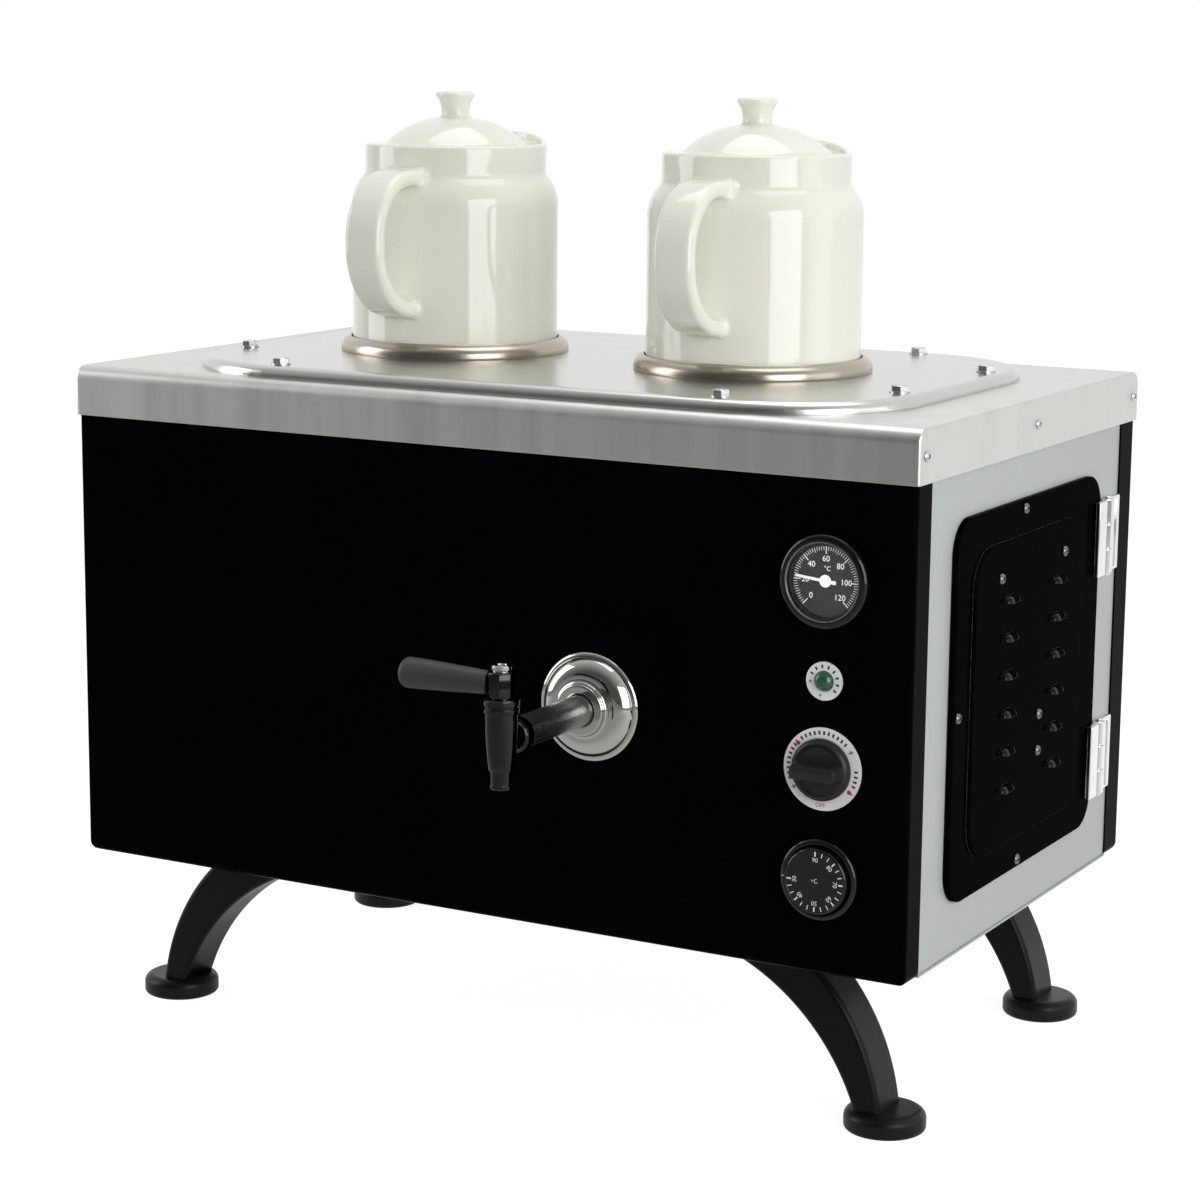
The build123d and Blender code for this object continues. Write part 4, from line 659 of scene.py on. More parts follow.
def dense(points: Sequence[Point], step: float) -> list[Point]:
    """Add points along the long runs of an outline.

    Args:
        points: The outline's points.
        step: Longest run allowed.

    Returns:
        The points with the added ones.
    """
    made = [points[0]]
    for near, far in zip(points, points[1:]):
        count = max(1, math.ceil(math.dist(near, far) / step))
        for part in range(1, count + 1):
            share = part / count
            made.append((near[0] + (far[0] - near[0]) * share, near[1] + (far[1] - near[1]) * share))
    return made


def inset_outline(outline: Sequence[Point], inset: float) -> list[Point]:
    """Draw an outline in by an even margin.

    Args:
        outline: Points of a closed outline, counter-clockwise.
        inset: The margin.

    Returns:
        The smaller outline.
    """
    if not inset:
        return list(outline)
    made = []
    for index, spot in enumerate(outline):
        back = Vector(spot) - Vector(outline[index - 1])
        ahead = Vector(outline[(index + 1) % len(outline)]) - Vector(spot)
        normals = [Vector((-way.y, way.x)).normalized() for way in (back, ahead)]
        mean = (normals[0] + normals[1]).normalized()
        reach = inset / max(mean.dot(normals[0]), 0.3)
        made.append((spot[0] + mean.x * reach, spot[1] + mean.y * reach))
    return made


def rounded_box(width: float, height: float, radius: float, steps: int = ARC_STEPS) -> list[Point]:
    """Outline of a rectangle with rounded corners, around its middle."""
    x, y = width / 2, height / 2
    return rounded([(-x, -y, radius), (x, -y, radius), (x, y, radius), (-x, y, radius)], True, steps)


def regular(sides: int, corner: float, turn: float = 0.0) -> list[Point]:
    """Outline of a regular polygon around the middle."""
    angles = [turn + 2 * math.pi * side / sides for side in range(sides)]
    return [(corner * math.cos(angle), corner * math.sin(angle)) for angle in angles]


def smooth(share: float) -> float:
    """An eased step from 0 to 1."""
    share = min(max(share, 0.0), 1.0)
    return share * share * (3 - 2 * share)


class Profile(list):
    """Radius and height of the points along a turned outline."""

    def to(self, *points: Point) -> "Profile":
        """Go on in straight lines."""
        self.extend(points)
        return self

    def bow(self, radius: float, height: float, sag: float, steps: int = 12) -> "Profile":
        """Go on to a point along a shallow curve."""
        self.extend(bow(self[-1], (radius, height), sag, steps))
        return self


# Pieces

def new_object(name: str, data: bpy.types.ID) -> bpy.types.Object:
    """Put an object into the scene.

    Args:
        name: Its name.
        data: Its mesh, curve, light or camera.

    Returns:
        The new object.
    """
    made = bpy.data.objects.new(name, data)
    bpy.context.scene.collection.objects.link(made)
    return made


def resolved(carrier: bpy.types.Object) -> bpy.types.Mesh:
    """The mesh of an object once its curves and modifiers are worked out."""
    view = bpy.context.evaluated_depsgraph_get()
    return bpy.data.meshes.new_from_object(carrier.evaluated_get(view))


class Shape:
    """A mesh in the making, from which one piece is cut loose at the end."""

    def __init__(self) -> None:
        """Start with nothing."""
        self.mesh = bmesh.new()

    def ring(self, spots: Iterable[Sequence[float]], place: Matrix) -> list[bmesh.types.BMVert]:
        """New vertices at some spots of a frame."""
        return [self.mesh.verts.new(place @ Vector(spot)) for spot in spots]

    def bridge(self, near: list[bmesh.types.BMVert], far: list[bmesh.types.BMVert]) -> None:
        """Join two rings, either of which may be a single point.

        Args:
            near: The first ring.
            far: The second ring.
        """
        count = max(len(near), len(far))
        for step in range(count):
            after = (step + 1) % count
            ring = [near[step % len(near)], near[after % len(near)]]
            ring += [far[after % len(far)], far[step % len(far)]]
            corners = list(dict.fromkeys(ring))
            if len(corners) > 2:
                self.mesh.faces.new(corners)

    def turn(
        self, profile: Sequence[Point], place: Matrix, closed: bool = False, steps: int = TURN_STEPS
    ) -> "Shape":
        """Turn a profile about the Z axis of a frame.

        Args:
            profile: Radius and height of each point.
            place: The frame.
            closed: Whether the profile is a loop that stays off the axis.
            steps: Steps around.

        Returns:
            The shape itself.
        """
        rings = []
        for radius, height in profile:
            spots = regular(steps, radius)[:1 if radius < ON_AXIS else steps]
            rings.append(self.ring([(*spot, height) for spot in spots], place))
        for near, far in zip(rings, rings[1:] + (rings[:1] if closed else [])):
            self.bridge(near, far)
        return self

    def sweep(self, rings: Sequence[Iterable[Sequence[float]]], place: Matrix) -> "Shape":
        """Skin a run of like rings and close both its ends.

        Args:
            rings: The spots of each ring.
            place: The frame that they are in.

        Returns:
            The shape itself.
        """
        made = [self.ring(ring, place) for ring in rings]
        for near, far in zip(made, made[1:]):
            self.bridge(near, far)
        self.mesh.faces.new(list(reversed(made[0])))
        self.mesh.faces.new(made[-1])
        return self

    def stack(self, outline: Sequence[Point], levels: Iterable[Point], place: Matrix) -> "Shape":
        """Skin an outline at some levels, each a height and the margin that draws the outline in there."""
        rings = [[(*spot, height) for spot in inset_outline(outline, inset)] for height, inset in levels]
        return self.sweep(rings, place)

    def slab(
        self, outline: Sequence[Point], place: Matrix, low: float, high: float, bevel: float = 0.0
    ) -> "Shape":
        """Raise a flat outline into a slab.

        Args:
            outline: The slab's outline.
            place: The frame that it stands on.
            low: Height of its underside.
            high: Height of its top.
            bevel: Rounding of its top edge.

        Returns:
            The shape itself.
        """
        turns = [math.pi / 8 * step for step in range(5)] if bevel else [0.0]
        levels = [(high - bevel + bevel * math.sin(turn), bevel * (1 - math.cos(turn))) for turn in turns]
        return self.stack(outline, [(low, 0.0)] + levels, place)

    def add(self, mesh: bpy.types.Mesh, place: Matrix) -> "Shape":
        """Add a copy of a mesh.

        Args:
            mesh: The mesh.
            place: The frame that the copy stands in.

        Returns:
            The shape itself.
        """
        copy = mesh.copy()
        copy.transform(place)
        self.mesh.from_mesh(copy)
        bpy.data.meshes.remove(copy)
        return self

    def digits(self, words: str, size: float, place: Matrix) -> "Shape":
        """Add printed digits or a plain sign.

        Args:
            words: What to write.
            size: Height of the letters' body.
            place: Frame whose origin is the middle of the words.

        Returns:
            The shape itself.
        """
        curve = bpy.data.curves.new("digits", "FONT")
        curve.body, curve.size = words, size
        curve.align_x = curve.align_y = "CENTER"
        curve.extrude = PRINT_DEPTH / 2
        curve.resolution_u = 3
        carrier = new_object("digits", curve)
        mesh = resolved(carrier)
        self.add(mesh, shifted(place, 0.0, 0.0, PRINT_DEPTH / 2))
        bpy.data.objects.remove(carrier)
        bpy.data.meshes.remove(mesh)
        bpy.data.curves.remove(curve)
        return self

    def to_mesh(self, name: str) -> bpy.types.Mesh:
        """Close the shape off as a smooth mesh with sharp edges kept.

        Args:
            name: Name of the mesh.

        Returns:
            The mesh.
        """
        bmesh.ops.remove_doubles(self.mesh, verts=self.mesh.verts, dist=TINY)
        bmesh.ops.recalc_face_normals(self.mesh, faces=self.mesh.faces)
        mesh = bpy.data.meshes.new(name)
        self.mesh.to_mesh(mesh)
        self.mesh.free()
        mesh.shade_smooth()
        mesh.set_sharp_from_angle(angle=SHARP)
        return mesh

    def piece(self, name: str, body: Body, finish: Finish, *stands_for: str) -> None:
        """Turn the shape into a piece that rides on a body.

        Args:
            name: The piece's name.
            body: The body it moves with.
            finish: Its finish.
            *stands_for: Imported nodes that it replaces.
        """
        made = new_object(name, self.to_mesh(name))
        made.data.materials.append(finish.material())
        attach(made, body.value)
        if stands_for:
            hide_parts(*stands_for)
        LOG.info("%s on %s, %d faces", name, body.value, len(made.data.polygons))


@dataclass(frozen=True)
class Room:
    """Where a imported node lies."""

    low: Vector
    high: Vector

    @classmethod
    def of(cls, node: str) -> "Room":
        """The box of a node at rest."""
        return cls(*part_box(node))

    @property
    def middle(self) -> Vector:
        """Middle of the box."""
        return (self.low + self.high) / 2

    @property
    def span(self) -> Vector:
        """Size of the box along each axis, in millimetres."""
        return (self.high - self.low) / MM


def islands(node: str) -> list[Room]:
    """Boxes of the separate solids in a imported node.

    Args:
        node: Name of the node.

    Returns:
        One box for each solid, in the order of their places.
    """
    copy = bmesh.new()
    copy.from_mesh(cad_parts[node].data)
    bmesh.ops.remove_doubles(copy, verts=copy.verts, dist=WELD_GAP)
    left = set(copy.verts)
    boxes = []
    while left:
        queue = [left.pop()]
        spots = []
        while queue:
            vert = queue.pop()
            spots.append(vert.co.copy())
            linked = {edge.other_vert(vert) for edge in vert.link_edges} & left
            left -= linked
            queue.extend(linked)
        box = [Vector([pick(spot[axis] for spot in spots) for axis in range(3)]) for pick in (min, max)]
        boxes.append(Room(*box))
    copy.free()
    return sorted(boxes, key=lambda room: tuple(room.middle))


def cross_screw(radius: float, height: float) -> bpy.types.Mesh:
    """A domed screw head with a cross recess, on its own seat.

    Args:
        radius: Radius of the head.
        height: Height of the dome.

    Returns:
        The head's mesh in millimetres, with its middle at the origin.
    """
    profile = Profile([(0.0, 0.0), (radius, 0.0), (radius, height * 0.25)])
    profile.bow(0.0, height, height * 0.32, 8)
    dome = Shape().turn(profile, Matrix.Identity(4), steps=32)
    arm, half = radius * 0.58, radius * 0.15
    quarter = [(arm, -half), (arm, half), (half, half)]
    turns = ((1, 0), (0, 1), (-1, 0), (0, -1))
    outline = [(x * c - y * s, x * s + y * c) for c, s in turns for x, y in quarter]
    cross = Shape().slab(outline, Matrix.Identity(4), height * 0.35, height * 1.5)
    pair = [new_object("cross_screw", shape.to_mesh("cross_screw")) for shape in (dome, cross)]
    cut = pair[0].modifiers.new("cut", "BOOLEAN")
    cut.operation = "DIFFERENCE"
    cut.object = pair[1]
    mesh = resolved(pair[0])
    for carrier in pair:
        bpy.data.objects.remove(carrier)
    return mesh


# Sub-assemblies

@dataclass
class SubAssembly:
    """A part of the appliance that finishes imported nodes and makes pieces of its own.

    Attributes:
        coats: Finishes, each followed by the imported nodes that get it.
    """

    coats: ClassVar[Sequence[tuple[Any, ...]]] = ()

    def dress(self) -> None:
        """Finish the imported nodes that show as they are."""
        for finish, *nodes in self.coats:
            for name in nodes:
                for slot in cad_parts[name].material_slots:
                    slot.material = finish.material()
                LOG.info("%s dressed in %s", name, finish.name)

    def build(self) -> None:
        """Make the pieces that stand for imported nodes."""


@dataclass
class Cabinet(SubAssembly):
    """Panels, cover and the screws that hold the cover."""

    screw_radius: float = 3.5
    screw_height: float = 1.9
    screw_start: float = 20.0
    screw_turn: float = 37.0

    coats = (
        (BLACK_ENAMEL, "front_panel", "rear_panel"),
        (GREY_ENAMEL, "left_end_panel", "right_end_panel"),
        (BRUSHED_COVER, "top_cover"),
        (SHEET_ZINC, "base_plate", "leg_bolts"),
    )

    def build(self) -> None:
        """Make the cover's cross-head screws."""
        head = cross_screw(self.screw_radius, self.screw_height)
        screws = Shape()
        cover = Room.of("top_cover")
        for index, room in enumerate(islands("cover_screws")):
            spot = room.middle
            if spot.x > 0:
                seat = end_place(cover.high.x, spot.y, spot.z)
            else:
                seat = left_end_place(cover.low.x, spot.y, spot.z)
            screws.add(head, spun(seat, self.screw_start + self.screw_turn * index))
        screws.piece("cover_screw_heads", Body.CABINET, ZINC, "cover_screws")


@dataclass
class Legs(SubAssembly):
    """Curved legs and their round feet."""

    coats = (
        (CAST_BLACK, "leg_front_left", "leg_front_right", "leg_rear_left", "leg_rear_right"),
        (RUBBER, "foot_pads"),
    )


@dataclass
class Deck(SubAssembly):
    """Raised deck with its bolts and the pots' collars."""

    washer_radius: float = 6.6
    washer_height: float = 0.8
    crown: float = 0.9
    collar_width: float = 7.0
    collar_lip: float = 1.4

    coats = ((SATIN_DECK, "deck_panel"), (RUBBER, "deck_gasket"))

    def build(self) -> None:
        """Make the bolts and both collars."""
        self.build_bolts()
        for side in SIDES:
            self.build_collar(f"pot_collar_{side}")

    def build_bolts(self) -> None:
        """Hex heads with crowned tops on thin washers, and their nuts below the cover."""
        top = Room.of("deck_panel").high.z
        wide, thick = self.washer_radius, self.washer_height
        bolts = Shape()
        for room in islands("deck_bolts"):
            plan = regular(6, room.span.x / 2)
            if room.high.z < top:
                place = upright_place(room.middle.x, room.middle.y, room.low.z)
                bolts.slab(plan, place, 0.0, room.span.z, self.crown / 2)
                continue
            place = upright_place(room.middle.x, room.middle.y, top)
            bolts.turn([(0.0, 0.0), (wide, 0.0), (wide, thick), (0.0, thick)], place, steps=32)
            bolts.slab(plan, place, thick, (room.high.z - top) / MM, self.crown)
        bolts.piece("deck_bolt_heads", Body.CABINET, ZINC, "deck_bolts")

    def build_collar(self, node: str) -> None:
        """A polished ring that swells out towards the deck.

        Args:
            node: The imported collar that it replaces.
        """
        room = Room.of(node)
        outer, height = room.span.x / 2, room.span.z
        bore, lip = outer - self.collar_width, self.collar_lip
        profile = Profile([(bore, 0.0), (outer - 0.4, 0.0), (outer, 0.5)])
        profile.bow(bore + lip, height - 0.5, 1.9)
        profile.to((bore + lip * 0.6, height), (bore, height - 0.4))
        place = upright_place(room.middle.x, room.middle.y, room.low.z)
        ring = Shape().turn(profile, place, closed=True, steps=128)
        ring.piece(f"{node}_ring", Body.CABINET, POLISHED_COLLAR, node)


@dataclass
class Pot(SubAssembly):
    """A porcelain pot with its lid, strap handle and pouring lip."""

    side: str
    neck_radius: float = 62.5
    shoulder: float = 112.0
    shoulder_round: float = 28.0
    neck: float = 122.5
    neck_round: float = 7.0
    rim: float = 143.0
    wall: float = 4.5
    ledge_drop: float = 4.0
    ledge_width: float = 5.0
    lip_reach: float = 17.0
    lip_rise: float = 6.5
    lip_start: float = 106.0
    lip_spread: float = 0.62
    handle_top: float = 122.0
    handle_low: float = 33.0
    handle_width: float = 28.0
    handle_thick: float = 11.0
    handle_step: float = 0.8
    bend_top: float = 40.0
    bend_low: float = 44.0
    blend: float = 5.0
    dome_radius: float = 49.0
    dome_height: float = 18.0
    knob_neck: float = 9.6
    knob_top: float = 13.5

    def __post_init__(self) -> None:
        """Find where the pot stands."""
        self.node = f"pot_{self.side}"
        self.lid = f"pot_lid_{self.side}"
        room, lid = Room.of(self.node), Room.of(self.lid)
        self.radius = room.span.x / 2
        self.reach = (lid.middle.y - room.low.y) / MM
        self.lid_radius = lid.span.x / 2
        self.lid_top = (lid.high.z - room.low.z) / MM
        self.place = upright_place(lid.middle.x, lid.middle.y, room.low.z)
        wall = self.profile()
        top = max(range(len(wall)), key=lambda index: wall[index][1])
        self.outside = wall[:top + 1]

    def build(self) -> None:
        """Make the pot and its lid."""
        pot = Shape().turn(self.profile(), self.place, steps=160)
        self.draw_lip(pot)
        self.add_handle(pot)
        pot.piece(f"{self.node}_porcelain", Body(self.node), PORCELAIN, self.node)
        lid = Shape().turn(self.lid_profile(), self.place, steps=128)
        lid.piece(f"{self.lid}_porcelain", Body(f"lid_{self.side}"), PORCELAIN, self.lid)

    def profile(self) -> list[Point]:
        """The pot's wall, from the middle of its base up, over the rim and down inside.

        Returns:
            Radius and height of each point.
        """
        inside = self.neck_radius - self.wall
        throat = inside - self.ledge_width
        ledge = self.rim - self.ledge_drop
        bore = self.radius - self.wall
        corners = [
            (0.0, 0.0, 0.0),
            (self.radius, 0.0, 4.0),
            (self.radius, self.shoulder, self.shoulder_round),
            (self.neck_radius, self.neck, self.neck_round),
            (self.neck_radius, self.rim, 2.0),
            (inside, self.rim, 1.2),
            (inside, ledge, 0.6),
            (throat, ledge, 0.8),
            (throat, ledge - self.wall, 1.0),
            (inside, ledge - self.wall - self.ledge_width, 3.0),
            (bore, self.shoulder, 20.0),
            (bore, self.wall, 5.0),
            (0.0, self.wall, 0.0),
        ]
        return dense(rounded(corners, steps=10), 6.0)

    def draw_lip(self, pot: Shape) -> None:
        """Draw the rim out into a pouring lip opposite the handle.

        Args:
            pot: The shape with the turned wall.
        """
        home = self.place.inverted()
        inside = self.neck_radius - self.wall
        for vert in pot.mesh.verts:
            spot = home @ vert.co
            radius = math.hypot(spot.x, spot.y)
            height = smooth((spot.z - self.lip_start) / (self.rim - self.lip_start))
            if radius < inside - CLOSE or height <= 0:
                continue
            angle = math.atan2(spot.x, spot.y)
            share = math.exp(-((angle / self.lip_spread) ** 2)) * height
            spot = self.pushed(spot, share * self.lip_reach)
            spot.z += self.lip_rise * share * smooth((spot.z - self.neck) / (self.rim - self.neck))
            vert.co = self.place @ spot

    def add_handle(self, pot: Shape) -> None:
        """A strap that leaves the shoulder, bends down and comes back to the body.

        Args:
            pot: The shape that the handle joins.
        """
        line = -(self.reach - self.handle_thick / 2)
        corners = [
            (-(self.neck_radius - self.wall / 2), self.handle_top, 0.0),
            (line, self.handle_top, self.bend_top),
            (line, self.handle_low, self.bend_low),
            (-(self.radius - self.wall / 2), self.handle_low, 0.0),
        ]
        route = dense(rounded(corners, steps=16), self.handle_step)
        section = rounded_box(self.handle_width, self.handle_thick, self.handle_thick * 0.42)
        rings = []
        for index, (y, z) in enumerate(route):
            back = Vector(route[max(index - 1, 0)])
            ahead = Vector(route[min(index + 1, len(route) - 1)])
            way = (ahead - back).normalized()
            across = Vector((-way.y, way.x))
            rings.append([self.flared(Vector((0.0, y, z)), across, u, v) for u, v in section])
        pot.sweep(rings, self.place)

    def flared(self, core: Vector, across: Vector, u: float, v: float) -> Vector:
        """A spot on the handle's skin, which flares out into the wall at its roots.

        Args:
            core: The handle's middle line there.
            across: The way through the handle's thickness, in the YZ plane.
            u: Place along the handle's width.
            v: Place along its thickness.

        Returns:
            The spot in the pot's own place.
        """
        through = Vector((0.0, across.x, across.y))
        spot = core + Vector((u, 0.0, 0.0)) + through * v
        stand = self.clearance(spot)
        near = min(max(1 - stand / self.blend, 0.0), 1.0)
        grow = self.blend * (1 - math.sqrt(1 - near * near))
        wide = u * (1 + grow * 2 / self.handle_width)
        thick = v * (1 + grow / self.handle_thick)
        spot = core + Vector((wide, 0.0, 0.0)) + through * thick
        if near > 0:
            spot = self.pushed(spot, stand - self.clearance(spot))
        deep = -self.wall * 0.5 - self.clearance(spot)
        return spot if deep <= 0 else self.pushed(spot, deep * 0.95)

    def clearance(self, spot: Vector) -> float:
        """How far a spot in the pot's own place stands off its outer face.

        Args:
            spot: The spot.

        Returns:
            The distance, less than zero inside.
        """
        wall = self.neck_radius
        for (near, low), (far, high) in zip(self.outside, self.outside[1:]):
            if low <= spot.z <= high and high > low:
                wall = near + (far - near) * (spot.z - low) / (high - low)
                break
        return math.hypot(spot.x, spot.y) - wall

    def pushed(self, spot: Vector, out: float) -> Vector:
        """Move a spot straight out from the pot's axis, or in for less than zero."""
        push = 1 + out / math.hypot(spot.x, spot.y)
        return Vector((spot.x * push, spot.y * push, spot.z))

    def lid_profile(self) -> Profile:
        """The lid from under its dome, round its rim and up to the knob.

        Returns:
            Radius and height of each point.
        """
        seat = self.rim - self.ledge_drop + 0.3
        spigot = self.neck_radius - self.wall - self.ledge_width - 1.0
        hollow = spigot - 4.0
        dome_top = self.rim + self.dome_height
        under = dome_top - 5.0
        edge, knob, top = self.lid_radius, self.knob_top, self.lid_top
        lid = Profile([(0.0, under), (self.knob_neck, under)]).bow(hollow, seat - 4.0, -2.5)
        lid.to((hollow, seat - 7.5), (hollow + 0.5, seat - 8.0), (spigot - 0.5, seat - 8.0))
        lid.to((spigot, seat - 7.5), (spigot, seat), (edge - 0.4, seat), (edge, seat + 0.4))
        lid.to((edge, self.rim - 0.8), (edge - 0.8, self.rim), (self.dome_radius + 1.2, self.rim))
        lid.to((self.dome_radius, self.rim + 0.3)).bow(self.knob_neck + 1.5, dome_top, 3.6, 20)
        lid.to((self.knob_neck, dome_top + 1.6)).bow(knob, top - 3.0, -1.3).bow(knob - 2.2, top, 0.9, 6)
        return lid.to((knob * 0.5, top - 0.3), (0.0, top - 0.4))


@dataclass
class Tap(SubAssembly):
    """Chromed tap: rose, pipe, barrel, nozzle and lever."""

    bore: float = 5.0
    rose_bore: float = 10.4
    hub: float = 17.0
    waist: float = 8.2
    boss: float = 9.4
    boss_foot: float = 11.0
    grip_root: float = 7.1

    coats = ((PIPE_CHROME, "tap_pipe"), (BRASS, "tap_back_nut"))

    def __post_init__(self) -> None:
        """Find the barrel's axis and heights."""
        barrel = Room.of("tap_barrel")
        self.rose = Room.of("tap_rose")
        self.radius = barrel.span.x / 2
        self.x, self.y = barrel.middle.x, barrel.low.y + self.radius * MM
        self.reach = (barrel.high.y - self.y) / MM
        self.low, self.high = barrel.low.z / MM, barrel.high.z / MM
        self.upright = upright_place(self.x, self.y, 0.0)

    def build(self) -> None:
        """Make every visible piece of the tap."""
        self.build_rose()
        self.build_barrel()
        self.build_nozzle()
        self.build_head()
        self.build_cap()
        self.build_grip()

    def build_rose(self) -> None:
        """Domed cover plate with a raised hub."""
        outer, height = self.rose.span.x / 2, self.rose.span.y
        bore, hub = self.rose_bore, self.hub
        profile = Profile([(bore, 0.0), (outer - 0.3, 0.0), (outer, 0.5), (outer, 1.4)])
        profile.bow(outer - 3.2, 3.2, 0.5, 6).bow(hub + 3.0, 10.6, 2.1, 16)
        profile.bow(hub, height - 1.6, -1.0, 8).bow(hub - 2.0, height, 0.6, 6)
        profile.to((bore + 1.2, height), (bore, height - 1.0))
        base = front_place(self.x, self.rose.high.y, self.rose.middle.z)
        rose = Shape().turn(profile, base, closed=True, steps=128)
        rose.piece("tap_rose_chrome", Body.CABINET, CHROME, "tap_rose")

    def build_barrel(self) -> None:
        """Ringed barrel and its boss towards the pipe."""
        low, high, top, waist = self.low, self.high, self.radius, self.waist
        ring = high - 9.0
        profile = Profile([(self.bore, low), (waist - 0.8, low), (waist, low + 1.0)])
        profile.to((waist + 0.5, low + 5.0)).bow(top - 0.9, ring - 1.0, 0.5)
        profile.to((top - 0.9, ring), (top - 0.2, ring + 0.3), (top, ring + 1.0), (top, ring + 3.0))
        profile.to((top - 0.7, ring + 3.6), (top - 0.7, ring + 4.4), (top, ring + 5.0))
        profile.to((top, high - 1.0), (top - 1.0, high), (self.bore, high))
        barrel = Shape().turn(profile, self.upright, closed=True, steps=64)
        boss, foot, reach = self.boss, self.boss_foot, self.reach
        stub = Profile([(0.0, 2.0), (boss, 2.0), (boss, 11.5)]).bow(foot, 14.5, -0.6, 6)
        stub.to((foot, reach - 0.8), (foot - 0.8, reach), (0.0, reach))
        back = front_place(self.x, self.y, self.rose.middle.z) @ Matrix.Rotation(math.pi, 4, "X")
        barrel.turn(stub, back, steps=64)
        barrel.piece("tap_barrel_chrome", Body.CABINET, TAP_CHROME_PAINTED_DARK, "tap_barrel")

    def build_nozzle(self) -> None:
        """Straight outlet with a small lip."""
        room = Room.of("tap_nozzle")
        low, radius = room.low.z / MM, room.span.x / 2
        profile = [
            (self.bore, self.low), (radius - 0.5, self.low), (radius - 0.5, low + 3.0), (radius, low + 2.5),
            (radius, low + 0.6), (radius - 0.6, low), (self.bore, low),
        ]
        nozzle = Shape().turn(profile, self.upright, closed=True, steps=64)
        nozzle.piece("tap_nozzle_chrome", Body.CABINET, TAP_CHROME_PAINTED_DARK, "tap_nozzle")

    def build_head(self) -> None:
        """Eight-sided head on its core."""
        room = Room.of("tap_head")
        root, top = room.low.z / MM, Room.of("tap_cap").low.z / MM
        low = self.high + 0.6
        plan = regular(8, room.span.x / 2 / math.cos(math.pi / 8), math.pi / 8)
        head = Shape().slab(plan, self.upright, low + 1.4, top, 1.4)
        core = Profile([(0.0, root), (6.0, root), (6.0, low + 0.2)])
        core.to((7.2, low + 0.2), (7.2, low + 1.6), (0.0, low + 1.6))
        head.turn(core, self.upright, steps=48)
        head.piece("tap_head_chrome", Body.TAP, TAP_CHROME_PAINTED_DARK, "tap_head")

    def build_cap(self) -> None:
        """Stepped cap with a small dimple."""
        room = Room.of("tap_cap")
        low, high, radius = room.low.z / MM, room.high.z / MM, room.span.x / 2
        profile = Profile([(0.0, low), (radius - 0.8, low), (radius - 0.8, low + 0.8), (radius, low + 1.2)])
        profile.to((radius, high - 0.9), (radius - 0.8, high), (radius * 0.55, high))
        profile.to((radius * 0.5, high - 0.7), (0.0, high - 0.7))
        cap = Shape().turn(profile, self.upright, steps=48)
        cap.piece("tap_cap_chrome", Body.TAP, CHROME, "tap_cap")

    def build_grip(self) -> None:
        """Tapered lever grip with a rounded end."""
        room = Room.of("tap_grip")
        near, far, length = self.grip_root, room.span.z / 2, room.span.x
        profile = Profile([(0.0, 0.0), (near - 0.6, 0.0), (near, 0.6)]).bow(far, length - 6.0, 0.25)
        profile.to(*rounded([(far, length - 6.0, 0), (far, length, 5.0), (0.0, length, 0)], steps=10)[1:])
        place = upright_place(room.high.x, self.y, room.middle.z) @ Matrix.Rotation(-math.pi / 2, 4, "Y")
        grip = Shape().turn(profile, place, steps=64)
        grip.piece("tap_grip_lever", Body.TAP, GRIP_PLASTIC, "tap_grip")


# Controls

BOLT_SIGN = [(-0.15, -0.5), (0.32, 0.12), (0.02, 0.10), (0.22, 0.5), (-0.30, -0.06), (-0.02, -0.06)]
FLAME_TURNS = [math.pi * step / 8 for step in range(9)]
FLAME_FOOT = [(-0.34 * math.cos(turn), -0.16 - 0.34 * math.sin(turn)) for turn in FLAME_TURNS]
FLAME_SIGN = FLAME_FOOT + [(0.16, 0.2), (0.0, 0.5), (-0.20, 0.16)]


def sign(shape: Shape, outline: Sequence[Point], size: float, place: Matrix) -> None:
    """Print a plain sign of some size."""
    shape.slab([(x * size, y * size) for x, y in outline], place, 0.0, PRINT_DEPTH)


def tick(
    shape: Shape, place: Matrix, angle: float, reach: Point, width: float, depth: float = PRINT_DEPTH
) -> None:
    """Add a radial stroke to a dial.

    Args:
        shape: The shape that takes it.
        place: Frame of the dial.
        angle: Degrees clockwise from twelve o'clock.
        reach: Radius where the stroke starts and where it ends.
        width: Its width.
        depth: How far it stands up.
    """
    half = width / 2
    inner, outer = reach
    outline = [(-half, inner), (half, inner), (half, outer), (-half, outer)]
    shape.slab(outline, spun(place, -angle), 0.0, depth)


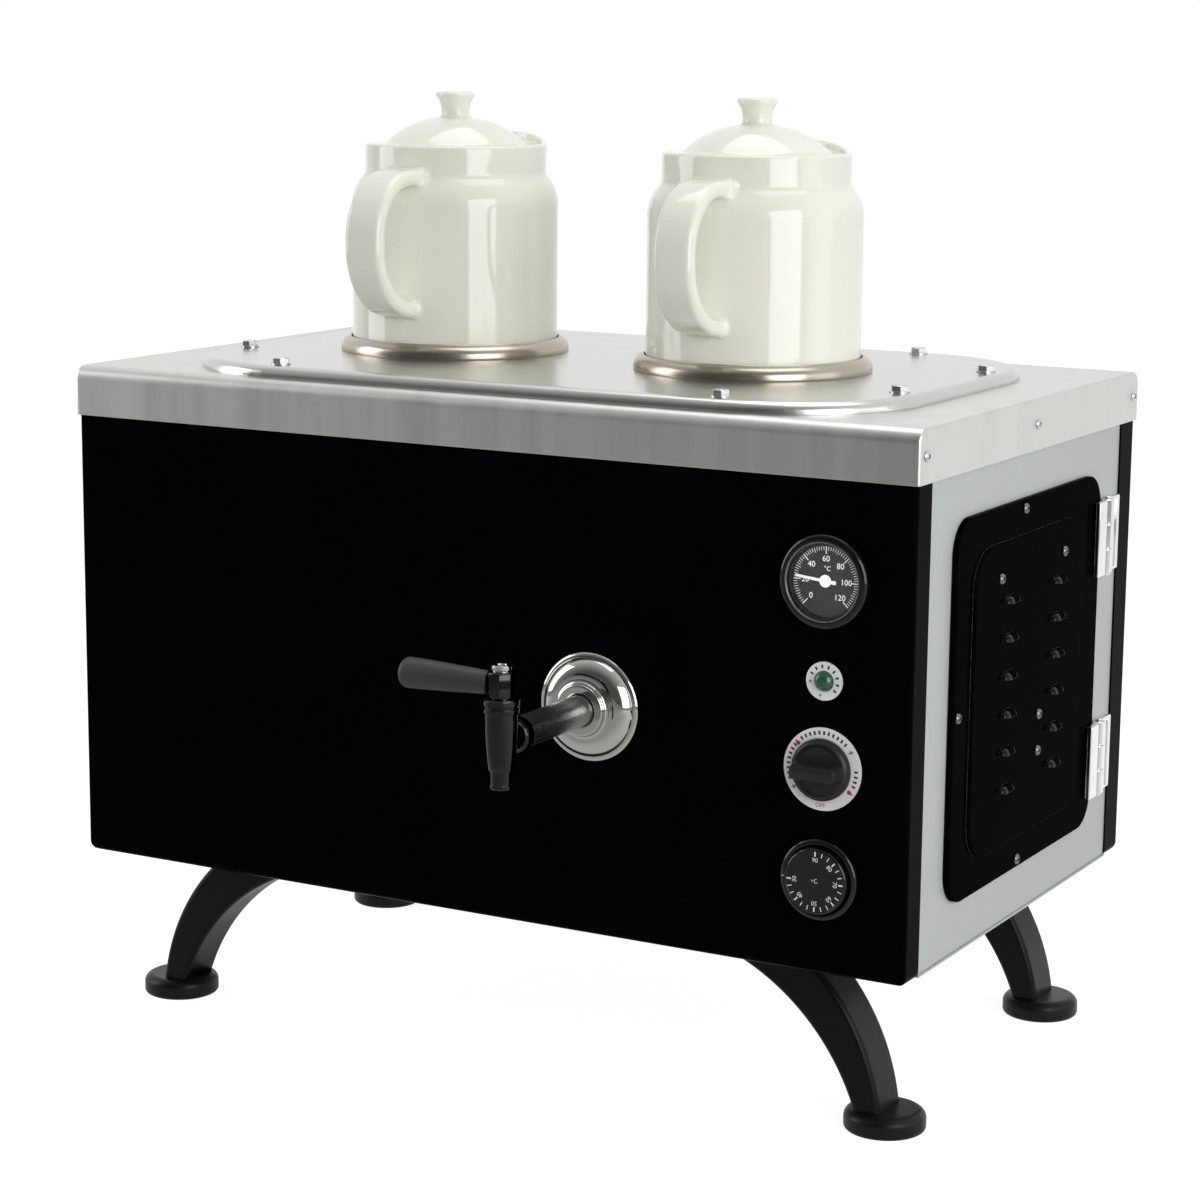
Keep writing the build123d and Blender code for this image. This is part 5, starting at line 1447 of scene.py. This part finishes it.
@dataclass
class Thermometer(SubAssembly):
    """Dial thermometer with its scale, needle and window."""

    opening: float = 24.0
    dial_radius: float = 22.0
    scale_outer: float = 21.3
    fine_length: float = 2.4
    medium_length: float = 3.12
    long_length: float = 4.6
    fine_width: float = 0.28
    long_width: float = 0.55
    digit_radius: float = 13.6
    digit_size: float = 5.1
    top_degrees: int = 120
    sweep: float = 270.0

    coats = (
        (DIAL_BLACK, "thermometer_dial"),
        (CLEAR_GLASS, "thermometer_glass"),
        (COPPER, "thermometer_probe"),
    )

    def __post_init__(self) -> None:
        """Find the dial's middle and depths."""
        self.case = Room.of("thermometer_case")
        self.panel = Room.of("front_panel").low.y
        self.face = Room.of("thermometer_dial").low.y

    def place(self, y: float) -> Matrix:
        """The dial's frame at a depth."""
        return front_place(self.case.middle.x, y, self.case.middle.z)

    def build(self) -> None:
        """Make the case, the printed scale and the needle."""
        self.build_case()
        self.build_scale()
        self.build_needle()
        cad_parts["thermometer_glass"].visible_shadow = False

    def build_case(self) -> None:
        """Bezel with a proud rim, a sloping inner wall and a trim ring, and the can behind the panel."""
        rise = (self.panel - self.case.low.y) / MM
        deep = (self.panel - self.face) / MM
        can = (self.case.high.y - self.panel) / MM
        outer, window, dial = self.case.span.x / 2, self.opening, self.dial_radius
        profile = Profile([(0.0, -can), (outer - 4.0, -can), (outer - 3.5, -can + 0.5), (outer - 3.5, 0.0)])
        profile.to((outer - 0.4, 0.0), (outer, 0.6), (outer, rise - 3.4))
        profile.bow(outer - 3.2, rise - 0.2, 0.9, 8)
        profile.to((window + 1.0, rise), (window + 0.2, rise - 0.4), (window, rise - 1.0))
        profile.to((dial, deep + 0.15), (dial, deep - 0.9), (0.0, deep - 0.9))
        case = Shape().turn(profile, self.place(self.panel), steps=128)
        case.piece("thermometer_bezel", Body.CABINET, GLOSS_BLACK, "thermometer_case")
        inner = window - 0.15
        loop = [
            (inner, rise - 2.6), (inner + 0.2, rise - 2.6), (inner + 0.9, rise - 0.2),
            (inner + 0.8, rise + 0.1), (inner + 0.3, rise + 0.1), (inner, rise - 0.3),
        ]
        trim = Shape().turn(loop, self.place(self.panel), closed=True, steps=128)
        trim.piece("thermometer_trim", Body.CABINET, TRIM_GREY)

    def build_scale(self) -> None:
        """Strokes and plain numbers on the dial."""
        scale = Shape()
        place = self.place(self.face)
        for value in range(0, self.top_degrees + 1, 2):
            angle = (value / self.top_degrees - 0.5) * self.sweep
            long = value % 20 == 0
            length = self.long_length if long else self.fine_length if value % 10 else self.medium_length
            reach = (self.scale_outer - length, self.scale_outer)
            tick(scale, place, angle, reach, self.long_width if long else self.fine_width)
            if long:
                scale.digits(str(value), self.digit_size, on_dial(place, angle, self.digit_radius))
        scale.digits("°C", self.digit_size * 0.8, shifted(place, 1.0, 7.6))
        scale.piece("thermometer_scale", Body.CABINET, INK_WHITE)

    def build_needle(self) -> None:
        """White needle with a round hub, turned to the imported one's reading."""
        middle = self.case.middle
        spots = [vert.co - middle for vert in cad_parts["thermometer_needle"].data.vertices]
        tip = max(spots, key=lambda spot: math.hypot(spot.x, spot.z))
        place = spun(self.place(self.face), math.degrees(math.atan2(tip.z, tip.x)))
        high = (self.face - Room.of("thermometer_needle").low.y) / MM
        low = high - 0.8
        blade = [(-7.0, -1.1), (0.0, -0.9), (20.0, -0.75), (20.0, 0.75), (0.0, 0.9), (-7.0, 1.1)]
        hub = [(0.0, low), (3.8, low), (3.9, low + 0.3), (3.7, high), (0.0, high)]
        needle = Shape().slab(blade, place, low, high - 0.1).turn(hub, place, steps=48)
        needle.piece("thermometer_pointer", Body.NEEDLE, NEEDLE_WHITE, "thermometer_needle")


@dataclass
class Pilot(SubAssembly):
    """Green pilot lamp in its printed ring."""

    mark_radius: float = 9.2
    stroke: tuple[float, float] = (8.1, 10.3)
    stroke_width: float = 1.2
    stroke_count: int = 8
    first_stroke: float = -62.0
    stroke_pitch: float = 27.0
    sign_angles: tuple[float, float] = (-95.0, -165.0)
    sign_size: float = 3.6

    coats = ((LABEL_WHITE, "pilot_ring"),)

    def build(self) -> None:
        """Make the lens and the ring's marks."""
        ring, lamp = Room.of("pilot_ring"), Room.of("pilot_lamp")
        rise = (ring.high.y - lamp.low.y) / MM
        back = (lamp.high.y - ring.high.y) / MM
        radius = lamp.span.x / 2
        body = radius - 0.8
        profile = Profile([(0.0, -back), (body, -back), (body, 0.0), (radius - 0.2, 0.0), (radius, 0.3)])
        profile.to((radius, 1.8)).bow(0.0, rise, 1.5)
        lens = Shape().turn(profile, front_place(ring.middle.x, ring.high.y, ring.middle.z), steps=64)
        lens.piece("pilot_lens", Body.CABINET, PILOT_GREEN, "pilot_lamp")
        face = front_place(ring.middle.x, ring.low.y, ring.middle.z)
        marks, signs = Shape(), Shape()
        for step in range(self.stroke_count):
            tick(marks, face, self.first_stroke + self.stroke_pitch * step, self.stroke, self.stroke_width)
        for angle in self.sign_angles:
            sign(signs, BOLT_SIGN, self.sign_size, on_dial(face, angle, self.mark_radius))
        marks.piece("pilot_marks", Body.CABINET, INK_BLACK)
        signs.piece("pilot_signs", Body.CABINET, INK_GREEN)


@dataclass
class Selector(SubAssembly):
    """Selector switch: printed plate and bar knob.

    Attributes:
        rows: Middle angle and count of the strokes in each row.
    """

    mark_radius: float = 22.8
    stroke: tuple[float, float] = (21.6, 24.0)
    stroke_width: float = 1.3
    stroke_pitch: float = 8.0
    rows: tuple[tuple[float, int], ...] = ((-82.0, 8), (2.0, 11), (100.0, 4))
    bolt_angles: tuple[float, float] = (-125.0, 56.0)
    bolt_size: float = 5.0
    flame_angles: tuple[float, float] = (-48.0, 124.0)
    flame_size: float = 4.2
    off_angle: float = 182.0
    off_size: float = 3.8
    skirt_height: float = 6.0
    bar_width: float = 12.0
    bar_round: float = 4.5

    coats = ((LABEL_WHITE, "selector_plate"), (BLACK_PLASTIC, "selector_switch"))

    def __post_init__(self) -> None:
        """Find the plate."""
        self.plate = Room.of("selector_plate")

    def build(self) -> None:
        """Make the knob and the plate's marks."""
        self.build_marks()
        self.build_knob()

    def build_marks(self) -> None:
        """Rows of strokes for the three ways, signs beside them, and a plain word for off."""
        face = front_place(self.plate.middle.x, self.plate.low.y, self.plate.middle.z)
        strokes, bolts, flames = Shape(), Shape(), Shape()
        for centre, count in self.rows:
            for step in range(count):
                angle = centre + self.stroke_pitch * (step - (count - 1) / 2)
                tick(strokes, face, angle, self.stroke, self.stroke_width)
        for angle in self.bolt_angles:
            sign(bolts, BOLT_SIGN, self.bolt_size, spun(on_dial(face, angle, self.mark_radius), -angle))
        for angle in self.flame_angles:
            sign(flames, FLAME_SIGN, self.flame_size, spun(on_dial(face, angle, self.mark_radius), -angle))
        flames.digits("OFF", self.off_size, on_dial(face, self.off_angle, self.mark_radius))
        strokes.piece("selector_marks", Body.CABINET, INK_BLACK)
        bolts.piece("selector_electric_signs", Body.CABINET, INK_GREEN)
        flames.piece("selector_gas_signs", Body.CABINET, INK_RED)

    def build_knob(self) -> None:
        """Round skirt with a dished top, a bar grip across it and a pointer stroke."""
        room = Room.of("selector_knob")
        panel = Room.of("front_panel").low.y
        place = front_place(self.plate.middle.x, panel, self.plate.middle.z)
        radius = room.span.x / 2
        low = (panel - self.plate.low.y) / MM + 0.3
        top = (panel - room.low.y) / MM
        back = (room.high.y - panel) / MM
        skirt = low + self.skirt_height
        profile = Profile([(0.0, -back), (3.0, -back), (3.0, low), (radius - 0.3, low)])
        profile.to((radius, low + 0.3), (radius, low + 1.6)).bow(radius - 2.4, skirt, 0.7, 8)
        profile.to((radius - 3.2, skirt)).bow(radius - 6.0, skirt - 1.3, -0.4, 6).to((0.0, skirt - 1.6))
        bar = rounded_box(2 * (radius - 2.6), self.bar_width, self.bar_round)
        levels = [(low + 3.0, -0.4), (skirt, 0.0), (skirt + 4.0, 1.1)]
        levels += [(top - 1.6, 1.5), (top - 0.5, 2.0), (top, 3.0)]
        knob = Shape().turn(profile, place).stack(bar, levels, place)
        knob.piece("selector_bar_knob", Body.SELECTOR, BLACK_PLASTIC, "selector_knob")
        pointer = Shape()
        tick(pointer, shifted(place, 0.0, 0.0, skirt - 0.35), -90.0, (radius - 4.4, radius - 1.9), 1.1, 0.5)
        pointer.piece("selector_pointer", Body.SELECTOR, INK_WHITE)


@dataclass
class Thermostat(SubAssembly):
    """Thermostat: gloss bezel and numbered dial."""

    bore: float = 21.8
    stroke: tuple[float, float] = (16.0, 19.0)
    fine_width: float = 0.55
    long_width: float = 0.95
    stroke_count: int = 19
    stroke_pitch: float = 15.0
    top_degrees: int = 90
    digit_radius: float = 13.6
    digit_size: float = 4.0

    coats = ((BLACK_PLASTIC, "thermostat_body"), (COPPER, "thermostat_probe"))

    def __post_init__(self) -> None:
        """Find the bezel and its frame."""
        self.bezel = Room.of("thermostat_bezel")
        self.place = front_place(self.bezel.middle.x, self.bezel.high.y, self.bezel.middle.z)

    def build(self) -> None:
        """Make bezel, dial and printed scale."""
        self.build_bezel()
        self.build_dial()

    def build_bezel(self) -> None:
        """A rounded gloss ring with a pointer stroke at nine o'clock."""
        inner, outer, high = self.bore, self.bezel.span.x / 2, self.bezel.span.y
        profile = Profile([(inner, 0.0), (outer - 0.2, 0.0), (outer, 0.3), (outer, 1.2)])
        profile.bow(inner + 1.4, high, 1.2, 10).to((inner + 0.5, high - 0.2), (inner, high - 0.8))
        ring = Shape().turn(profile, self.place, closed=True, steps=128)
        ring.piece("thermostat_ring", Body.CABINET, GLOSS_BLACK, "thermostat_bezel")
        mark = Shape()
        tick(mark, shifted(self.place, 0.0, 0.0, high - 0.15), -90.0, (inner + 0.9, inner + 2.2), 0.8, 0.25)
        mark.piece("thermostat_index", Body.CABINET, INK_WHITE)

    def build_dial(self) -> None:
        """Dial with a raised edge, strokes and plain numbers."""
        room = Room.of("thermostat_dial")
        radius = room.span.x / 2
        high = (self.bezel.high.y - room.low.y) / MM
        back = (room.high.y - self.bezel.high.y) / MM
        low, face = 0.9, high - 0.4
        profile = Profile([(0.0, -back), (3.0, -back), (3.0, low), (radius, low), (radius, high - 2.2)])
        profile.bow(radius - 1.6, high, 0.5, 8)
        profile.to((radius - 1.9, high - 0.05), (radius - 2.1, face), (0.0, face))
        dial = Shape().turn(profile, self.place)
        dial.piece("thermostat_knob", Body.THERMOSTAT, GLOSS_BLACK, "thermostat_dial")
        scale = Shape()
        top = shifted(self.place, 0.0, 0.0, face)
        for step in range(self.stroke_count):
            angle = self.stroke_pitch * step
            long = step % 3 == 0
            tick(scale, top, angle, self.stroke, self.long_width if long else self.fine_width)
            if long:
                spot = spun(on_dial(top, angle, self.digit_radius), -angle)
                scale.digits(str(self.top_degrees - 10 * (step // 3)), self.digit_size, spot)
        scale.digits("°C", self.digit_size, spun(top, 20.0))
        scale.piece("thermostat_scale", Body.THERMOSTAT, INK_WHITE)


# Door and inside

@dataclass
class Door(SubAssembly):
    """Black door on the right end with its screws, louvres and hinges."""

    screw_radius: float = 3.6
    screw_height: float = 2.2
    screw_start: float = 15.0
    screw_turn: float = 41.0
    louvre_columns: tuple[float, float] = (-43.5, 40.5)
    louvre_top: float = 60.5
    louvre_pitch: float = 24.8
    louvre_rows: int = 6
    louvre_radius: float = 4.5
    louvre_length: float = 20.0
    louvre_wall: float = 1.0
    louvre_steps: int = 12
    skin: float = 0.03
    knuckles: int = 3
    knuckle_round: float = 0.7
    gap: float = 0.6
    rib: float = 3.4
    rib_rise: float = 1.1
    rib_shares: tuple[float, float] = (-0.3, 0.16)
    leaf: float = 2.5
    block_rise: float = 5.0
    block_start: float = 10.0
    pin_head: float = 1.5

    coats = ((DOOR_ENAMEL, "door_panel"),)

    def build(self) -> None:
        """Make the screws, the louvres' hoods and the hinges."""
        self.build_screws()
        self.build_louvres()
        self.build_hinges()

    def build_screws(self) -> None:
        """Make the door's cross-head screws."""
        head = cross_screw(self.screw_radius, self.screw_height)
        screws = Shape()
        for index, room in enumerate(islands("door_screws")):
            seat = end_place(room.high.x - self.screw_height * MM, room.middle.y, room.middle.z)
            screws.add(head, spun(seat, self.screw_start + self.screw_turn * index))
        screws.piece("door_screw_heads", Body.DOOR, SCREW_DARK, "door_screws")

    def build_louvres(self) -> None:
        """Glossy hoods over the slots of the raised middle."""
        room = Room.of("door_panel")
        face = end_place(room.high.x, room.middle.y, room.middle.z)
        hoods = Shape()
        for column in self.louvre_columns:
            for row in range(self.louvre_rows):
                height = self.louvre_top - self.louvre_pitch * row
                self.add_hood(hoods, shifted(face, column, height, -self.louvre_radius))
        hoods.piece("door_louvres", Body.DOOR, LOUVRE_GLOSS)

    def add_hood(self, hoods: Shape, place: Matrix) -> None:
        """A quarter-round hood with round ends, open below.

        Args:
            hoods: The shape that takes it.
            place: Frame in the middle of the slot.
        """
        half = self.louvre_length / 2 - self.louvre_radius
        ends = [math.pi * step / self.louvre_steps for step in range(self.louvre_steps + 1)]
        outer, inner = self.louvre_radius + self.skin, self.louvre_radius - self.louvre_wall
        loop: list[Point] = []
        for radius, angles in ((outer, ends), (inner, ends[::-1])):
            for angle in angles:
                along = -math.cos(angle) * radius + (half if angle > math.pi / 2 else -half)
                loop.append((along, math.sin(angle) * radius))
        lifts = [angle / 2 for angle in ends]
        rings = [[(x, off * math.sin(lift), off * math.cos(lift)) for x, off in loop] for lift in lifts]
        hoods.sweep(rings, place)

    def build_hinges(self) -> None:
        """Butt hinges: ribbed leaves, knuckles with rounded ends and headed pins."""
        fixed, moving, pins = Shape(), Shape(), Shape()
        for pin in islands("hinge_pins"):
            near = [min(islands(node), key=lambda room: abs(room.middle.z - pin.middle.z))
                    for node in ("hinge_frame_leaves", "hinge_door_leaves")]
            self.add_leaf(fixed, near[0], pin.middle, 1, (0, self.knuckles - 1))
            self.add_leaf(moving, near[1], pin.middle, -1, (1,))
            self.add_pin(pins, pin)
        fixed.piece("hinge_fixed_leaves", Body.CABINET, HINGE_CHROME, "hinge_frame_leaves")
        moving.piece("hinge_moving_leaves", Body.DOOR, HINGE_CHROME, "hinge_door_leaves")
        pins.piece("hinge_pin_heads", Body.CABINET, HINGE_CHROME, "hinge_pins")

    def add_leaf(self, shape: Shape, room: Room, axis: Vector, side: int, owned: tuple[int, ...]) -> None:
        """One leaf with its ribs or its block, and its knuckles.

        Args:
            shape: The shape that takes it.
            room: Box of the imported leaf.
            axis: Middle of the pin.
            side: 1 for a leaf behind the pin, -1 for one in front of it.
            owned: The knuckles that belong to the leaf, counted from below.
        """
        place = end_place(axis.x, axis.y, room.middle.z)
        height, radius = room.span.z, (room.high.x - axis.x) / MM
        start = side * (radius + self.gap)
        edge = ((room.high.y if side > 0 else room.low.y) - axis.y) / MM
        base = (room.low.x - axis.x) / MM if side > 0 else -self.leaf / 2
        rise = -base if side > 0 else self.leaf
        width, middle = abs(edge - start), (start + edge) / 2
        shape.slab(rounded_box(width, height, 1.6), shifted(place, middle, 0.0, base), 0.0, rise, 0.8)
        if side > 0:
            outline = rounded_box(self.rib, height - 3.0, self.rib * 0.48)
            for share in self.rib_shares:
                spot = shifted(place, middle + share * width, 0.0, base)
                shape.slab(outline, spot, rise - 0.2, rise + self.rib_rise, self.rib_rise)
        else:
            spot = shifted(place, (edge - self.block_start) / 2, 0.0, base)
            outline = rounded_box(-self.block_start - edge, height, 1.4)
            shape.slab(outline, spot, 0.0, self.block_rise, 0.9)
        pitch, bend = height / self.knuckles, self.knuckle_round
        upright = upright_place(axis.x, axis.y, room.low.z)
        for index in owned:
            low = pitch * index + self.gap / 4
            high = low + pitch - self.gap / 2
            profile = [
                (0.0, low), (radius - bend, low), (radius, low + bend),
                (radius, high - bend), (radius - bend, high), (0.0, high),
            ]
            shape.turn(profile, upright, steps=40)
            web = shifted(place, (start + side * self.gap) / 2, (low + high - height) / 2, base)
            shape.slab(rounded_box(radius + self.gap * 2, high - low, 0.5), web, 0.0, rise * 0.9, 0.3)

    def add_pin(self, shape: Shape, room: Room) -> None:
        """The domed heads at both ends of a pin, whose shank the knuckles hide.

        Args:
            shape: The shape that takes them.
            room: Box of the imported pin.
        """
        radius, head = room.span.x / 2, self.pin_head
        upright = upright_place(room.middle.x, room.middle.y, 0.0)
        for tip, way in ((room.low.z / MM, 1), (room.high.z / MM, -1)):
            rises = [(0.0, 0.0), (radius - 0.5, 0.15), (radius, 0.6), (radius, head), (0.0, head)]
            shape.turn([(wide, tip + way * rise) for wide, rise in rises], upright, steps=40)


@dataclass
class Inside(SubAssembly):
    """Tank, heaters and supply, which show through the open door and at the rear."""

    coats = (
        (SHEET_ZINC, "water_tank", "element_flange", "burner_stands"),
        (ELEMENT, "heating_element"),
        (BURNER, "gas_burner"),
        (COPPER, "gas_pipe"),
        (BRASS, "gas_valve", "gas_inlet"),
        (BLACK_PLASTIC, "cable_gland"),
        (LABEL_WHITE, "terminal_block"),
    )


# Studio

@dataclass
class Studio:
    """Pale floor, soft lamps and the camera.

    Attributes:
        camera_at: Where the camera stands.
        yaw: Its turn to the left, in degrees.
        pitch: Its tilt down, in degrees.
        roll: Its roll, in degrees.
        focal_pixels: Its focal length, in pixels of the photograph.
        photo_pixels: Width of the photograph.
        sensor: Width of the sensor, in millimetres.
        view_end: How far it sees.
        floor_reach: Half the floor's width.
        floor_grey: Colour of the floor.
        floor_rough: Roughness of the floor.
        floor_white: How bright the floor looks to the eye.
        floor_span: Places along Y between which mirrors see the floor go from dark to white.
        world_span: The same for the surroundings.
        mirror_low: How bright the darkened studio in front looks in mirrors.
        fill: Strength of the even light on all sides.
        aim: What the lamps point at.
        lamps: Name, place, size and power of each softbox.
    """

    camera_at: Corner = (1.0134, -1.78905, 0.6859)
    yaw: float = 29.128
    pitch: float = 10.559
    roll: float = 0.531
    focal_pixels: float = 3042.4
    photo_pixels: float = 1200.0
    sensor: float = 36.0
    view_end: float = 60.0
    floor_reach: float = 9.0
    floor_grey: float = 0.40
    floor_rough: float = 0.9
    floor_white: float = 0.88
    floor_span: Point = (-0.7, 0.6)
    world_span: Point = (-0.85, 0.25)
    mirror_low: float = 0.11
    fill: float = 0.30
    aim: Corner = (0.0, 0.0, 0.35)
    lamps: tuple[tuple[str, Corner, Point, float], ...] = (
        ("left_softbox", (-2.0, -0.8, 0.95), (1.1, 1.6), 17.0),
        ("right_softbox", (1.9, -1.05, 0.85), (1.3, 1.4), 24.0),
        ("end_softbox", (2.3, 0.35, 0.8), (1.2, 1.3), 4.0),
        ("top_softbox", (0.1, 0.3, 2.3), (1.8, 1.2), 15.0),
    )

    def build(self) -> None:
        """Set up everything around the object."""
        self.build_floor()
        self.build_world()
        self.build_lamps()
        self.build_camera()
        bpy.context.scene.view_settings.view_transform = "Standard"

    def build_floor(self) -> None:
        """A wide pale floor that keeps soft shadows and looks white to the camera."""
        mesh = bpy.data.meshes.new("floor")
        reach = self.floor_reach
        corners = [(-reach, -reach, 0), (reach, -reach, 0), (reach, reach, 0), (-reach, reach, 0)]
        mesh.from_pydata(corners, [], [(0, 1, 2, 3)])
        floor = new_object("floor", mesh)
        paint = bpy.data.materials.new("studio_floor")
        paint.use_nodes = True
        tree = paint.node_tree
        shader = tree.nodes["Principled BSDF"].inputs
        shader["Roughness"].default_value = self.floor_rough
        shader["Base Color"].default_value = (*grey(self.floor_grey), 1.0)
        shader["Emission Color"].default_value = WHITE
        seen = self.seen_by_eye(tree, self.floor_span, self.floor_white)
        feed(tree, shader["Emission Strength"], seen)
        mesh.materials.append(paint)

    def seen_by_eye(self, tree: Tree, span: Point, white: float) -> Socket:
        """How white the surroundings look to camera, transmission and glossy rays.

        Args:
            tree: The tree to add it to.
            span: Places along Y, where mirrors see a darkened studio and where they see full white.
            white: Full white.

        Returns:
            A strength.
        """
        path = add_node(tree, "LightPath").outputs
        place = add_node(tree, "TexCoord").outputs["Object"]
        depth = add_node(tree, "SeparateXYZ", {0: place}).outputs["Y"]
        mirror = mapped(tree, depth, span, self.mirror_low)
        shine = math_node(tree, "MULTIPLY", path["Is Glossy Ray"], mirror)
        clear = math_node(tree, "MAXIMUM", path["Is Camera Ray"], path["Is Transmission Ray"])
        return math_node(tree, "MULTIPLY", math_node(tree, "MAXIMUM", clear, shine), white)

    def build_world(self) -> None:
        """White surroundings for the eye, and an even soft light for everything else."""
        world = bpy.data.worlds.new("studio")
        bpy.context.scene.world = world
        world.use_nodes = True
        tree = world.node_tree
        back = tree.nodes["Background"].inputs
        back["Color"].default_value = WHITE
        seen = self.seen_by_eye(tree, self.world_span, 1.0)
        path = add_node(tree, "LightPath").outputs
        fill = math_node(tree, "MULTIPLY", path["Is Diffuse Ray"], self.fill)
        feed(tree, back["Strength"], math_node(tree, "MAXIMUM", seen, fill))

    def build_lamps(self) -> None:
        """Softboxes to the left, to the right, at the right end and over the object."""
        for name, spot, size, power in self.lamps:
            light = bpy.data.lights.new(name, "AREA")
            light.shape = "RECTANGLE"
            light.size, light.size_y = size
            light.energy = power
            lamp = new_object(name, light)
            lamp.location = spot
            lamp.rotation_euler = (Vector(self.aim) - Vector(spot)).to_track_quat("-Z", "Y").to_euler()

    def build_camera(self) -> None:
        """The camera at the photograph's place and angle."""
        yaw, pitch, roll = (math.radians(turn) for turn in (self.yaw, self.pitch, self.roll))
        flat, down = math.cos(pitch), math.sin(pitch)
        ahead = Vector((-math.sin(yaw) * flat, math.cos(yaw) * flat, -down))
        level = Vector((math.cos(yaw), math.sin(yaw), 0.0))
        over = level.cross(ahead)
        right = level * math.cos(roll) + over * math.sin(roll)
        up = over * math.cos(roll) - level * math.sin(roll)
        data = bpy.data.cameras.new("camera")
        data.sensor_width = self.sensor
        data.lens = self.sensor * self.focal_pixels / self.photo_pixels
        data.clip_end = self.view_end
        camera = new_object("camera", data)
        turn = Matrix((right, up, -ahead)).transposed().to_4x4()
        camera.matrix_world = Matrix.Translation(self.camera_at) @ turn
        bpy.context.scene.camera = camera


def main() -> None:
    """Build and dress every sub-assembly in order."""
    logging.basicConfig(level=logging.INFO, format="%(message)s")
    parts = [Cabinet(), Legs(), Deck(), *(Pot(side) for side in SIDES), Tap()]
    parts += [Thermometer(), Pilot(), Selector(), Thermostat(), Door(), Inside()]
    for part in parts:
        part.dress()
        part.build()
    Studio().build()


if __name__ == "__main__":
    main()
